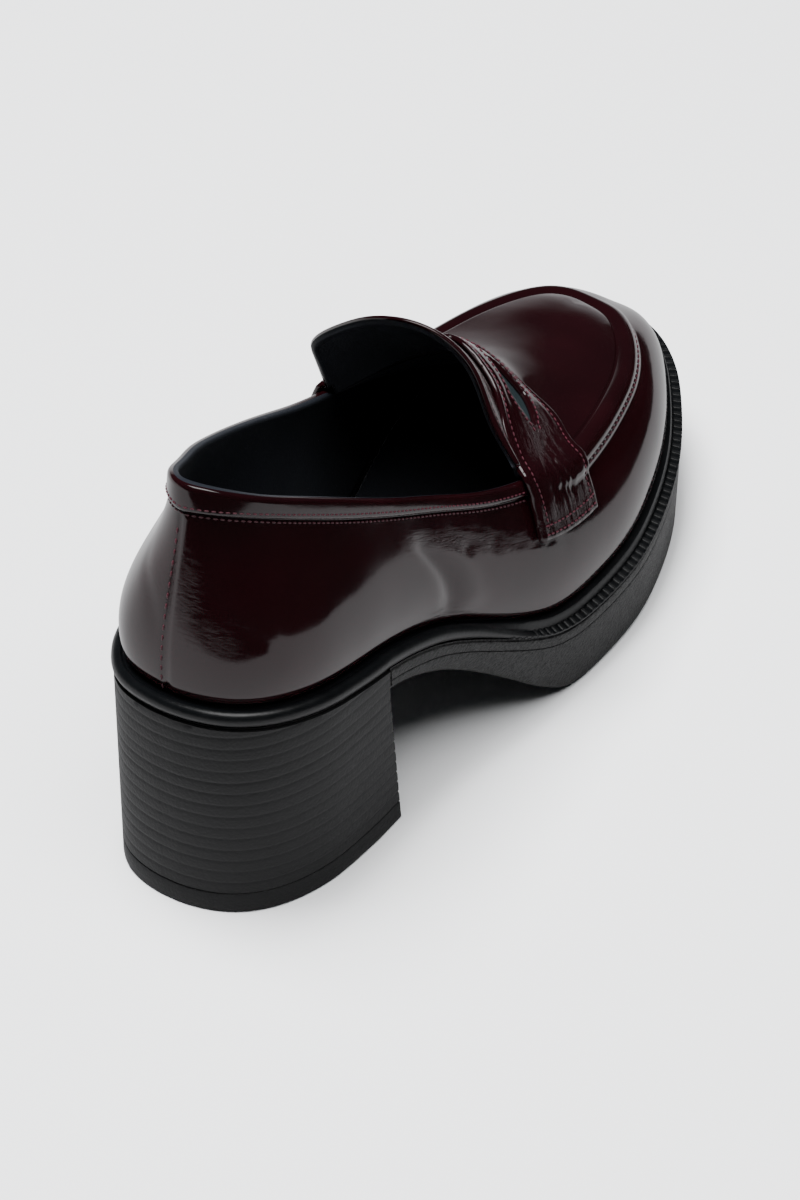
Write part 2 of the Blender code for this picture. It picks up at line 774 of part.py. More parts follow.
def main():
    for old in list(bpy.data.objects):
        bpy.data.objects.remove(old)
    make_upper()
    make_tongue()
    make_strap()
    make_welt()
    make_outsole()
    make_heel()
    make_insole()
    centre_on_floor()


main()
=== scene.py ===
# %% [markdown]
# # A loafer pump in crinkled patent leather
# The shoe stands on its block heel and platform. This lesson dresses its CAD frame: leather skin,
# tongue, saddle strap, threads, ribbed welt, sole, heel, and the light that patent leather needs.
# All lengths are metres. The toe points along +X, and the outer side of the foot is -Y.

import math

import bmesh
import bpy
import numpy as np
from mathutils import Matrix, Vector


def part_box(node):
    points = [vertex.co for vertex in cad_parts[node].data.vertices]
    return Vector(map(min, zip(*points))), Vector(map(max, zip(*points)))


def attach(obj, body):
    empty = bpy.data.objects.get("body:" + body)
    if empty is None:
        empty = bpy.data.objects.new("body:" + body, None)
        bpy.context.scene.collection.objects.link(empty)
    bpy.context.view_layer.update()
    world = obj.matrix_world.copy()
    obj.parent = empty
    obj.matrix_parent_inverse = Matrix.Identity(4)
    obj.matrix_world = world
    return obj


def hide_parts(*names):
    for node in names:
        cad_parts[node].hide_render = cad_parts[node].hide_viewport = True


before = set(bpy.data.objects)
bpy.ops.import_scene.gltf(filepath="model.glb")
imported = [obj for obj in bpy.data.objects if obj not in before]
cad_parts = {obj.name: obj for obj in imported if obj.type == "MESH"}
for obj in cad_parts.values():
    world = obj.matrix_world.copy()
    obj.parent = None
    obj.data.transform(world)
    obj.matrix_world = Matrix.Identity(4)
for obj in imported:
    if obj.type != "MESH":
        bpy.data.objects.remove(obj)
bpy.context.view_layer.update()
MM = 0.001
print("nodes:", sorted(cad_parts))

# %% [markdown]
# ## The last
# A shoe is built over a last. Here the last is a handful of curves, read at stations: 0 is the middle
# of the heel back and 16 the toe tip. A loop place q goes once round the shoe, 0 to 32: heel, outer
# side, toe, inner side. The sizes are those of the frame, so that the skin lies on its solids.

# %% Sizes of the last
LENGTH = 246 * MM
BALL_WIDTH = 95 * MM
HEEL_WIDTH = 67 * MM
HEEL_HEIGHT = 63.5 * MM
BREAST_DROP = 8.6 * MM
BREAST_PLACE = 53 * MM
BREAST_SLANT = 5 * MM
PLATFORM = 22 * MM
TOE_RISE = 9 * MM
TOE_SPRING = 5 * MM
WAIST_THICKNESS = 7.8 * MM
WELT_HEIGHT = 5 * MM
WELT_LEDGE = 2.7 * MM
FLANGE_HEEL = 3 * MM
FLANGE_TOE = 5 * MM
COLLAR_HEIGHT = 64 * MM
INSTEP_HEIGHT = 57 * MM
WALL = 2 * MM
CLEARANCE = 0.3 * MM
LAST_STATION = 16
LOOP = 2 * LAST_STATION

# Outline of the welt, heel back to toe tip: outer side along and out, then inner side along and out
OUTLINE = (
    (0.000, 0.000, 0.000, 0.000),
    (0.013, 0.153, 0.013, 0.153),
    (0.049, 0.262, 0.052, 0.252),
    (0.107, 0.330, 0.110, 0.316),
    (0.179, 0.354, 0.179, 0.336),
    (0.254, 0.360, 0.254, 0.320),
    (0.333, 0.380, 0.341, 0.305),
    (0.415, 0.432, 0.431, 0.325),
    (0.496, 0.477, 0.520, 0.378),
    (0.577, 0.495, 0.604, 0.438),
    (0.659, 0.487, 0.685, 0.484),
    (0.740, 0.440, 0.768, 0.498),
    (0.815, 0.370, 0.847, 0.472),
    (0.884, 0.275, 0.914, 0.412),
    (0.944, 0.165, 0.958, 0.330),
    (0.984, 0.040, 0.989, 0.228),
    (0.999, -0.090, 0.999, 0.090),
)

# Collar edge, then apron edge: outer side along, out and up, inner side along, out and up
EDGE = (
    (0.043, 0.016, 1.000, 0.043, -0.016, 1.000),
    (0.058, 0.102, 0.980, 0.064, 0.056, 0.975),
    (0.094, 0.174, 0.925, 0.110, 0.111, 0.905),
    (0.142, 0.216, 0.853, 0.157, 0.160, 0.845),
    (0.199, 0.247, 0.758, 0.207, 0.197, 0.775),
    (0.264, 0.272, 0.669, 0.268, 0.228, 0.722),
    (0.333, 0.293, 0.630, 0.333, 0.258, 0.695),
    (0.411, 0.321, 0.635, 0.411, 0.284, 0.710),
    (0.492, 0.341, 0.660, 0.492, 0.302, 0.730),
    (0.561, 0.338, 0.610, 0.561, 0.305, 0.670),
    (0.626, 0.314, 0.570, 0.626, 0.300, 0.600),
    (0.691, 0.276, 0.525, 0.695, 0.286, 0.540),
    (0.756, 0.224, 0.470, 0.760, 0.262, 0.490),
    (0.808, 0.160, 0.425, 0.814, 0.232, 0.435),
    (0.846, 0.090, 0.390, 0.852, 0.192, 0.395),
    (0.870, 0.022, 0.360, 0.875, 0.148, 0.360),
    (0.881, -0.080, 0.345, 0.881, 0.080, 0.345),
)

# Middle line of the vamp, throat to toe: station, along, across and up
SPINE = (
    (8, 0.590, 0.000, 1.000),
    (9, 0.636, 0.000, 0.812),
    (10, 0.683, 0.006, 0.712),
    (11, 0.728, 0.014, 0.642),
    (12, 0.772, 0.026, 0.581),
    (13, 0.809, 0.038, 0.535),
    (14, 0.837, 0.050, 0.493),
    (15, 0.853, 0.060, 0.462),
    (16, 0.860, 0.066, 0.446),
)

# Side of the upper: station, lean out at the welt, rise at the edge on the outer and on the inner
# side (degrees), pull of the curve at the welt and at the edge
SIDE_SHAPE = (
    (0, 3, 90, 90, 0.38, 0.36),
    (2, 13, 88, 88, 0.40, 0.33),
    (4, 11, 84, 84, 0.36, 0.32),
    (6, 12, 78, 78, 0.38, 0.32),
    (8, 9, 68, 66, 0.42, 0.32),
    (10, 6, 54, 58, 0.48, 0.36),
    (12, 4, 36, 50, 0.52, 0.42),
    (14, 0, 30, 46, 0.42, 0.42),
    (16, -16, 45, 45, 0.26, 0.38),
)

# Top of the sole in front of the heel: along, and share of the drop to the ball still left
WAIST_DROP = (
    (0.215, 1.000),
    (0.268, 0.883),
    (0.305, 0.778),
    (0.356, 0.584),
    (0.398, 0.401),
    (0.443, 0.207),
    (0.480, 0.079),
    (0.518, 0.015),
    (0.569, 0.000),
)

# Underside: along, and share of its height at the heel breast
ARCH = (
    (0.215, 1.000),
    (0.248, 0.950),
    (0.313, 0.786),
    (0.386, 0.514),
    (0.415, 0.388),
    (0.467, 0.157),
    (0.504, 0.035),
    (0.537, 0.000),
)
TREAD_END = 0.81


# %% Curves through the tables
def hermite(keys, values, at):
    """Smooth curve through the values at the keys, read at one place."""
    keys = np.asarray(keys, float)
    values = np.asarray(values, float)
    slopes = np.gradient(values, keys, axis=0)
    i = int(np.clip(np.searchsorted(keys, at, side="right") - 1, 0, len(keys) - 2))
    span = keys[i + 1] - keys[i]
    t = (at - keys[i]) / span
    return (
        values[i] * (2 * t**3 - 3 * t**2 + 1)
        + values[i + 1] * (3 * t**2 - 2 * t**3)
        + slopes[i] * span * (t**3 - 2 * t**2 + t)
        + slopes[i + 1] * span * (t**3 - t**2)
    )


def column(table, at):
    """Row of a table whose first column is the key, read between its rows."""
    rows = np.array(table, float)
    return hermite(rows[:, 0], rows[:, 1:], np.clip(at, rows[0, 0], rows[-1, 0]))


def around(rows, q):
    """Closed curve through the rows, which lie one loop place apart."""
    i = int(math.floor(q))
    t = q - i
    before, here, after, beyond = (rows[(i + k) % len(rows)] for k in (-1, 0, 1, 2))
    return 0.5 * (
        2 * here
        + (after - before) * t
        + (2 * before - 5 * here + 4 * after - beyond) * t**2
        + (3 * here - before - 3 * after + beyond) * t**3
    )


def closed_rows(outer, inner):
    return np.array(outer + inner[-2:0:-1], float)


def station_of(q):
    q = q % LOOP
    return min(q, LOOP - q)


def sole_top(x):
    """Height of the face that the welt and the insole rest on."""
    breast = HEEL_HEIGHT - BREAST_DROP
    ball = WAIST_DROP[-1][0] * LENGTH
    if x <= BREAST_PLACE:
        return HEEL_HEIGHT - BREAST_DROP * x / BREAST_PLACE
    if x <= ball:
        return PLATFORM + column(WAIST_DROP, x / LENGTH)[0] * (breast - PLATFORM)
    return PLATFORM + TOE_RISE * ((x - ball) / (LENGTH - ball)) ** 1.8


def sole_bottom(x):
    """Height of the underside: arch, flat tread and toe spring."""
    breast = HEEL_HEIGHT - BREAST_DROP - WAIST_THICKNESS
    lift = max(0.0, (x / LENGTH - TREAD_END) / (1 - TREAD_END))
    return max(0.0, column(ARCH, x / LENGTH)[0]) * breast + TOE_SPRING * lift**1.7


def outline_width(along):
    blend = min(1.0, max(0.0, (along - 0.176) / 0.15))
    return HEEL_WIDTH / 0.705 * (1 - blend) + BALL_WIDTH * blend


OUTLINE_LOOP = closed_rows(
    [(a * LENGTH, -b * outline_width(a)) for a, b, _, _ in OUTLINE],
    [(c * LENGTH, d * outline_width(c)) for _, _, c, d in OUTLINE],
)


def flange(q):
    """How far the welt stands out beyond the upper."""
    share = min(1.0, max(0.0, (station_of(q) - 5) / (LAST_STATION - 6)))
    return FLANGE_HEEL + (FLANGE_TOE - FLANGE_HEEL) * share


def plan(q, outward=0.0):
    """Point of the upper's foot line in plan, moved outward, and the direction outward."""
    here = around(OUTLINE_LOOP, q)
    step = around(OUTLINE_LOOP, q + 0.04) - around(OUTLINE_LOOP, q - 0.04)
    normal = np.array((step[1], -step[0])) / np.linalg.norm(step)
    return here + normal * (outward - flange(q)), normal


def edge_rows():
    sides = []
    for first, sign in ((0, -1), (3, 1)):
        rows = []
        for row in EDGE:
            along, out, up = row[first : first + 3]
            x = along * LENGTH
            rows.append((x, sign * out * BALL_WIDTH, sole_top(x) + WELT_HEIGHT + up * COLLAR_HEIGHT))
        sides.append(rows)
    return closed_rows(*sides)


EDGE_LOOP = edge_rows()
LAST_SHIFT = np.array(
    (
        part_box("welt")[0].x + 0.04 * FLANGE_HEEL,
        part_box("welt")[0].y - min(around(OUTLINE_LOOP, q / 20)[1] for q in range(20 * LOOP)),
        0.0,
    )
)
print("the last lies", np.round(LAST_SHIFT * 1000, 2), "mm from the frame's origin")

# %% [markdown]
# ## Camera
# The photo looks down at 40 degrees at the outer side, a little from behind, through a long lens. The
# camera comes first, because it decides which details are worth the most work.

# %% Camera
CAMERA_TURN = math.radians(-57.5)
CAMERA_TILT = math.radians(40)
CAMERA_DISTANCE = 1.2
CAMERA_TARGET = Vector((132.69 * MM, 14.35 * MM, 0)) + Vector(LAST_SHIFT)

to_camera = Vector(
    (
        math.sin(CAMERA_TURN) * math.cos(CAMERA_TILT),
        -math.cos(CAMERA_TURN) * math.cos(CAMERA_TILT),
        math.sin(CAMERA_TILT),
    )
)
to_right = Vector((math.cos(CAMERA_TURN), math.sin(CAMERA_TURN), 0))
to_top = to_camera.cross(to_right)
camera_data = bpy.data.cameras.new("photo_camera")
camera_data.sensor_width = 36
camera_data.lens = 129.6
camera = bpy.data.objects.new("photo_camera", camera_data)
camera.matrix_world = Matrix.Translation(CAMERA_TARGET + to_camera * CAMERA_DISTANCE) @ (
    Matrix((to_right, to_top, to_camera)).transposed().to_4x4()
)
bpy.context.scene.collection.objects.link(camera)
bpy.context.scene.camera = camera
print("camera at", [round(c, 3) for c in camera.location])

# %% [markdown]
# ## Writing shader maths as expressions
# A finish is a few numbers that vary over the surface. One small class wraps a socket, so that
# `1 - mask * 0.5` adds the Math nodes by itself, and one method makes every other node.


# %% A small shader workshop
class Number:
    """One number on its way through a material."""

    def __init__(self, finish, socket):
        self.finish = finish
        self.socket = socket

    def maths(self, operation, other=0.0, flip=False):
        pair = (other, self) if flip else (self, other)
        return self.finish.node("Math", {"operation": operation}, {0: pair[0], 1: pair[1]})

    def __add__(self, other):
        return self.maths("ADD", other)

    def __sub__(self, other):
        return self.maths("SUBTRACT", other)

    def __rsub__(self, other):
        return self.maths("SUBTRACT", other, flip=True)

    def __mul__(self, other):
        return self.maths("MULTIPLY", other)

    __radd__ = __add__
    __rmul__ = __mul__


class Finish:
    """A material with its Principled shader, and the one way in which its nodes are made."""

    def __init__(self, title, **constants):
        self.material = bpy.data.materials.new(title)
        self.material.use_nodes = True
        self.tree = self.material.node_tree
        self.shader = self.tree.nodes["Principled BSDF"]
        for socket, value in constants.items():
            name = socket.replace("_", " ").title().replace("Ior", "IOR")
            self.shader.inputs[name].default_value = value

    def node(self, kind, settings=None, sockets=None, output=0):
        made = self.tree.nodes.new("ShaderNode" + kind)
        for name, value in (settings or {}).items():
            setattr(made, name, value)
        for name, value in (sockets or {}).items():
            if isinstance(value, Number):
                self.tree.links.new(value.socket, made.inputs[name])
            else:
                made.inputs[name].default_value = value
        return Number(self, made.outputs[output])

    def place(self, scale=(1, 1, 1), source="Object"):
        """Object coordinates, or a named UV map, stretched for a pattern."""
        if source == "Object":
            start = self.node("TexCoord", None, None, "Object")
        else:
            start = self.node("UVMap", {"uv_map": source})
        return self.node("Mapping", None, {"Vector": start, "Scale": scale})

    def noise(self, size, detail=3.0, scale=(1, 1, 1), source="Object", rough=0.5, warp=0.0):
        """Noise whose grains are about size metres across."""
        sockets = {
            "Vector": self.place(scale, source),
            "Scale": 1 / size,
            "Detail": detail,
            "Roughness": rough,
            "Distortion": warp,
        }
        return self.node("TexNoise", None, sockets, "Fac")

    def attribute(self, name):
        return self.node("Attribute", {"attribute_name": name}, None, "Fac")

    def between(self, mask, low, high):
        """Colour that goes from low to high with the mask."""
        made = self.tree.nodes.new("ShaderNodeMix")
        made.data_type = "RGBA"
        made.inputs["A"].default_value = (*low, 1)
        made.inputs["B"].default_value = (*high, 1)
        self.tree.links.new(mask.socket, made.inputs["Factor"])
        return Number(self, made.outputs["Result"])

    def feed(self, socket, value):
        self.tree.links.new(value.socket, self.shader.inputs[socket])

    def relief(self, height, depth):
        """Bump whose height of 1 is depth metres."""
        made = self.tree.nodes.new("ShaderNodeBump")
        made.inputs["Distance"].default_value = depth
        made.inputs["Strength"].default_value = 1.0
        self.tree.links.new(height.socket, made.inputs["Height"])
        self.tree.links.new(made.outputs["Normal"], self.shader.inputs["Normal"])


# %% [markdown]
# ## Finishes
# Patent leather is a dark burgundy hide under a hard glaze that mirrors the room, so its roughness is
# close to nothing. Its crinkles break that mirror up: fine creases where the `crinkle` attribute says
# so, and slow waves all over. Rubber is matt: only its grain and its moulded lines catch light.


# %% Leather, lining and thread
def patent_leather(name="burgundy_patent"):
    f = Finish(name, ior=1.5)
    cloud = f.noise(0.022, detail=2)
    f.feed("Base Color", f.between(cloud, (0.0032, 0.0006, 0.0009), (0.0090, 0.0014, 0.0022)))
    smear = f.noise(0.018, detail=3, scale=(1, 1, 2.5))
    f.feed("Roughness", smear * 0.09 + 0.050 + f.attribute("crinkle") * 0.06)
    waves = f.noise(0.013, detail=1.0)
    pebble = f.noise(0.0016, detail=2.0)
    creases = f.noise(0.0030, detail=4.0, scale=(0.45, 1.9, 1), source="skin", rough=0.62, warp=1.2)
    folded = 1 - (creases * 2 - 1).maths("ABSOLUTE") * 1.7
    height = waves * 0.16 + pebble * 0.010 + f.attribute("crinkle") * folded * 0.26
    f.relief(height, 0.0006)
    return f.material


def lining_leather():
    f = Finish("black_lining", roughness=0.55)
    cloud = f.noise(0.012, detail=3)
    f.feed("Base Color", f.between(cloud, (0.0055, 0.0066, 0.0095), (0.0105, 0.0122, 0.0160)))
    f.relief(f.noise(0.0007, detail=2) * 0.5 + cloud * 0.5, 0.0002)
    return f.material


def thread_finish(name, dark, light):
    f = Finish(name, roughness=0.55)
    strand = f.noise(0.0005, detail=1)
    f.feed("Base Color", f.between(strand, dark, light))
    f.relief(strand, 0.0001)
    return f.material


patent = patent_leather()
lining = lining_leather()
thread = thread_finish("burgundy_thread", (0.020, 0.0024, 0.0060), (0.062, 0.0080, 0.0170))
print("leather finishes:", patent.name, lining.name, thread.name)


# %% Rubber
def rubber(name, dark, light, roughness, grain, depth, streak=(1, 1, 1), speckle=0.0):
    """Black rubber: grain is the size of its moulded texture, streak stretches its cloudiness."""
    f = Finish(name, roughness=roughness, specular_ior_level=0.32)
    cloud = f.noise(0.006, detail=4, scale=streak)
    pits = f.noise(grain, detail=3, rough=0.6)
    f.feed("Base Color", f.between(cloud * (1 - speckle) + (pits * 3 - 1) * speckle, dark, light))
    f.feed("Roughness", cloud * 0.16 + pits * speckle * 0.5 + (roughness - 0.08 - 0.25 * speckle))
    f.relief(pits, depth)
    return f.material


bead_rubber = rubber(
    "smooth_rubber", (0.0012, 0.0014, 0.0017), (0.0028, 0.0032, 0.0037), 0.34, 0.0012, 0.00006
)
rib_rubber = rubber("rib_rubber", (0.0022, 0.0024, 0.0027), (0.0060, 0.0063, 0.0068), 0.46, 0.0009, 0.00010)
side_rubber = rubber(
    "grained_rubber",
    (0.0004, 0.0004, 0.0004),
    (0.0245, 0.0247, 0.0245),
    0.50,
    0.0010,
    0.00075,
    speckle=0.85,
)
stack_rubber = rubber(
    "stacked_rubber", (0.0010, 0.0011, 0.0013), (0.0042, 0.0044, 0.0048), 0.50, 0.0009, 0.00016, (0.4, 0.4, 7)
)
backing_rubber = rubber("slot_backing", (0.006, 0.010, 0.0115), (0.015, 0.023, 0.026), 0.50, 0.0012, 0.00010)
print("rubber finishes are made")

# %% [markdown]
# ## The upper's skin
# The leather's section at each loop place is one curve from the welt to the edge of collar or apron,
# and, in front of the throat, a second one over the apron to its middle line. Both are worked out once
# on a dense net, smoothed along the shoe, and every other leather piece is laid on that net.

# %% Sections of the skin
PER_STATION = 12
SECTIONS = LOOP * PER_STATION
DENSE = 160


def bezier(p0, p1, p2, p3):
    t = np.linspace(0, 1, DENSE)[:, None]
    return p0 * (1 - t) ** 3 + 3 * p1 * t * (1 - t) ** 2 + 3 * p2 * t**2 * (1 - t) + p3 * t**3


def spine(station):
    """Middle line of the vamp, and its slope there."""

    def at(place):
        along, across, up = column(SPINE, place)
        x = along * LENGTH
        return np.array((x, across * BALL_WIDTH, sole_top(x) + WELT_HEIGHT + up * INSTEP_HEIGHT))

    inside = min(max(station, SPINE[0][0] + 0.01), SPINE[-1][0] - 0.01)
    step = at(inside + 0.01) - at(inside - 0.01)
    beyond = max(min(station - inside, 0.0), -1.0) / 0.02
    return at(inside) + step * beyond, step[2] / step[0]


def side_curve(q):
    flat, normal = plan(q)
    foot = np.array((*flat, sole_top(flat[0]) + WELT_HEIGHT + 1.5 * CLEARANCE))
    edge = around(EDGE_LOOP, q)
    lean, rise_outer, rise_inner, low_pull, high_pull = column(SIDE_SHAPE, station_of(q))
    mix = np.clip((q % LOOP - LAST_STATION + 1) / 2, 0, 1) if q % LOOP < 24 else 1.0
    rise = math.radians(rise_outer * (1 - mix) + rise_inner * mix)
    lean = math.radians(lean)
    chord = np.linalg.norm(edge - foot)
    out = np.array((*normal, 0.0))
    up = np.array((0.0, 0.0, 1.0))
    inward = edge - foot
    inward[2] = 0.0
    inward = inward / max(np.linalg.norm(inward), 1e-9)
    if np.dot(inward, out) > -0.5:
        inward = -out
    low = foot + chord * low_pull * (up * math.cos(lean) + out * math.sin(lean))
    high = edge - chord * high_pull * (up * math.sin(rise) + inward * math.cos(rise))
    return bezier(foot, low, high, edge)


def plug_curve(q):
    edge = around(EDGE_LOOP, q)
    middle, slope = spine(station_of(q))
    across = middle - edge
    chord = np.linalg.norm(across)
    flat = across / np.linalg.norm(across[:2])
    start = np.array((flat[0], flat[1], 1.55 * flat[2] + 0.05))
    finish = np.array((flat[0], flat[1], slope * flat[0]))
    low = edge + start / np.linalg.norm(start) * chord * 0.36
    high = middle - finish / np.linalg.norm(finish) * chord * 0.36
    return bezier(edge, low, high, middle)


def eased(grid, sigma):
    """Blurs a closed row of sections, sigma sections wide."""
    reach = int(3 * sigma) + 1
    steps = np.arange(-reach, reach + 1)
    weights = np.exp(-0.5 * (steps / sigma) ** 2)
    weights /= weights.sum()
    return sum(w * np.roll(grid, s, axis=0) for w, s in zip(weights, steps))


def lengths(curves):
    """Distance along each curve, from its start."""
    steps = np.linalg.norm(np.diff(curves, axis=1), axis=2)
    return np.concatenate((np.zeros((len(curves), 1)), np.cumsum(steps, axis=1)), axis=1)


LOOP_PLACES = np.arange(SECTIONS) / PER_STATION
SIDES = eased(np.array([side_curve(q) for q in LOOP_PLACES]), 2.5) + LAST_SHIFT
PLUGS = eased(np.array([plug_curve(q) for q in LOOP_PLACES]), 2.5) + LAST_SHIFT
SIDE_LENGTHS = lengths(SIDES)
PLUG_LENGTHS = lengths(PLUGS)
STATIONS = np.minimum(LOOP_PLACES, LOOP - LOOP_PLACES)
print("sections:", SECTIONS, "side height at the heel", round(SIDE_LENGTHS[0, -1] * 1000, 1), "mm")

# %% [markdown]
# The net's rows lie closest near the edge, where the collar band and the apron's rolled seam need
# half-millimetre steps. A row's place is its distance from the edge: negative down the side, positive
# over the apron.

# %% Rows of the skin
SIDE_ROWS = 30
EDGE_ROWS = 34
NEAR_ROWS = 10
PLUG_ROWS = 22
EDGE_REACH = 11.5 * MM
NEAR_REACH = 3.0 * MM
# Width of the collar band: station and millimetres
COLLAR_BAND = (
    (0.0, 8.7),
    (1.0, 7.4),
    (2.0, 6.3),
    (3.0, 6.2),
    (4.0, 6.0),
    (5.0, 5.3),
    (6.0, 5.0),
    (7.0, 4.9),
    (8.5, 5.2),
)
band_width = np.array([column(COLLAR_BAND, s)[0] for s in STATIONS]) * MM


def rows_of_section(k):
    """Distances from the edge of one section's rows, foot to middle line."""
    low = SIDE_LENGTHS[k, -1]
    reach = max(EDGE_REACH, band_width[k] + 3.5 * MM)
    side = -np.linspace(low, reach, SIDE_ROWS, endpoint=False)
    edge = -np.linspace(reach, 0, EDGE_ROWS, endpoint=False)
    near = np.linspace(0, NEAR_REACH, NEAR_ROWS, endpoint=False)
    far = np.linspace(NEAR_REACH, PLUG_LENGTHS[k, -1], PLUG_ROWS)
    return np.concatenate((side, edge, near, far))


ROWS = np.array([rows_of_section(k) for k in range(SECTIONS)])
EDGE_ROW = SIDE_ROWS + EDGE_ROWS


def base_points():
    points = np.zeros((*ROWS.shape, 3))
    for k in range(SECTIONS):
        down = ROWS[k] < 0
        at_side = ROWS[k][down] + SIDE_LENGTHS[k, -1]
        for axis in range(3):
            points[k, down, axis] = np.interp(at_side, SIDE_LENGTHS[k], SIDES[k, :, axis])
            points[k, ~down, axis] = np.interp(ROWS[k][~down], PLUG_LENGTHS[k], PLUGS[k, :, axis])
    return points


def net_normals(points):
    along = np.roll(points, -1, axis=0) - np.roll(points, 1, axis=0)
    up = np.gradient(points, axis=1)
    normals = np.cross(along, up)
    middle = normals[:, -1].copy()
    mirrored = (-np.arange(SECTIONS)) % SECTIONS
    normals[:, -1] = middle + middle[mirrored]
    return normals / np.maximum(np.linalg.norm(normals, axis=2), 1e-12)[:, :, None]


BASE = base_points()
NORMALS = net_normals(BASE)
print("net:", BASE.shape[0], "by", BASE.shape[1])

# %% [markdown]
# ### Relief of the skin
# Everything that a maker does to the flat hide is a height over the net: the folded collar band with
# its groove, the rolled apron seam, the back seam, the creases of the waist, and the way
# the leather tucks in at the welt.

# %% Relief tables
# Apron seam: distance outside the edge and height, both in mm
ROLL = (
    (-1.4, 0.00),
    (-0.8, -0.12),
    (-0.3, -0.50),
    (0.2, 0.35),
    (0.7, 1.10),
    (1.4, 1.75),
    (2.4, 2.15),
    (3.5, 2.30),
    (4.7, 2.22),
    (5.7, 1.95),
    (6.3, 1.55),
    (6.8, 0.88),
    (7.1, 0.52),
    (7.6, 0.52),
    (8.1, 0.48),
    (8.5, 0.08),
    (9.2, 0.00),
)
BAND_STEP = 0.8 * MM
BAND_GROOVE = 0.45 * MM
SEAM_DEPTH = 0.32 * MM
# Creases of the outer side: loop place and share up the side at both ends, width and depth in mm
CREASES = (
    (5.55, 0.62, 5.95, 0.12, 2.5, -0.95),
    (5.95, 0.64, 6.35, 0.18, 3.4, 0.42),
    (6.20, 0.72, 6.42, 0.60, 1.2, -0.22),
    (6.75, 0.74, 6.90, 0.60, 1.4, -0.22),
    (7.20, 0.60, 8.30, 0.50, 1.6, -0.16),
    (1.10, 0.46, 2.20, 0.26, 3.2, -0.22),
    (0.30, 0.60, 1.50, 0.38, 2.4, -0.16),
    (30.9, 0.55, 31.7, 0.30, 3.2, -0.22),
)
# Where the coat is crinkled: loop place, share up the side, reach in each, strength
CRINKLED = (
    (0.42, 0.50, 0.34, 0.17, 0.55),
    (1.05, 0.38, 0.60, 0.09, 0.40),
    (5.75, 0.67, 0.42, 0.07, 0.85),
    (6.40, 0.68, 0.50, 0.06, 0.75),
    (7.30, 0.62, 0.80, 0.06, 0.40),
    (5.95, 0.10, 0.45, 0.05, 0.60),
    (31.4, 0.50, 0.40, 0.20, 0.30),
    (24.6, 0.62, 0.90, 0.12, 0.40),
)


def ramp(values, start, end):
    t = np.clip((values - start) / (end - start), 0, 1)
    return t * t * (3 - 2 * t)


def bell(values, width):
    return np.exp(-((values / width) ** 2))


def seam_profile(distance):
    """Height of the apron seam at distances outside the edge, rounded off."""
    fine = np.arange(-3.0, 13.0, 0.05)
    places, heights = np.array(ROLL).T
    raw = np.interp(fine, places, heights)
    kernel = bell(np.arange(-0.6, 0.61, 0.05), 0.28)
    soft = np.convolve(raw, kernel / kernel.sum(), mode="same")
    return np.interp(distance / MM, fine, soft, left=0, right=0) * MM


def place_along(q_row):
    """Loop distance of every section from a loop place, the short way round."""
    return (LOOP_PLACES[:, None] - q_row + LAST_STATION) % LOOP - LAST_STATION


SHARE = np.clip(1 + ROWS / SIDE_LENGTHS[:, -1:], 0, 2)
IN_FRONT = ramp(STATIONS, 8.25, 8.95)[:, None]


def relief():
    height = seam_profile(-ROWS) * IN_FRONT
    band = band_width[:, None]
    on_band = ramp(-ROWS, band + 0.25 * MM, band - 0.25 * MM) * (ROWS <= 0)
    collar = BAND_STEP * on_band - BAND_GROOVE * bell(-ROWS - band - 0.1 * MM, 0.40 * MM)
    puff = 0.14 * MM * np.sin(np.pi * np.clip(-ROWS / band, 0, 1))
    height += (collar + puff) * (1 - IN_FRONT)
    for start_q, start_v, end_q, end_v, width, depth in CREASES:
        t = np.clip((SHARE - start_v) / (end_v - start_v), 0, 1)
        bow = 0.16 * np.sin(np.pi * t)
        gap = place_along(start_q + (end_q - start_q) * t + bow) * 17 * MM
        reach = ramp(SHARE, min(start_v, end_v) - 0.12, min(start_v, end_v) + 0.06)
        reach *= 1 - ramp(SHARE, max(start_v, end_v) - 0.06, max(start_v, end_v) + 0.14)
        height += depth * MM * bell(gap, width * MM) * reach
    seam = place_along(0.0) * 10 * MM
    below_band = ramp(-ROWS, band + 0.4 * MM, band + 2 * MM)
    height -= SEAM_DEPTH * bell(seam, 0.55 * MM) * below_band
    height += 0.22 * MM * ramp(seam, -0.3 * MM, 0.9 * MM) * bell(seam, 9 * MM) * below_band
    foot = ROWS + SIDE_LENGTHS[:, -1:]
    height -= 0.55 * MM * (1 - ramp(foot, 0, 2.6 * MM))
    return height


def crinkle():
    mask = np.full(ROWS.shape, 0.012)
    for q, share, reach_q, reach_v, strength in CRINKLED:
        mask = np.maximum(mask, strength * bell(place_along(q), reach_q) * bell(SHARE - share, reach_v))
    apron_crinkle = 0.22 * bell(place_along(9.5), 0.45) * bell(SHARE - 1.25, 0.16)
    return np.maximum(mask, apron_crinkle)


HEIGHT = relief()
print("relief from", round(HEIGHT.min() * 1000, 2), "to", round(HEIGHT.max() * 1000, 2), "mm")


# %% [markdown]
# ### One closed shell
# Outer and inner face share one net. They draw together over the last millimetre and a half at the
# collar, so that the rim is round, and a strip closes the shell at the foot and under the strap.

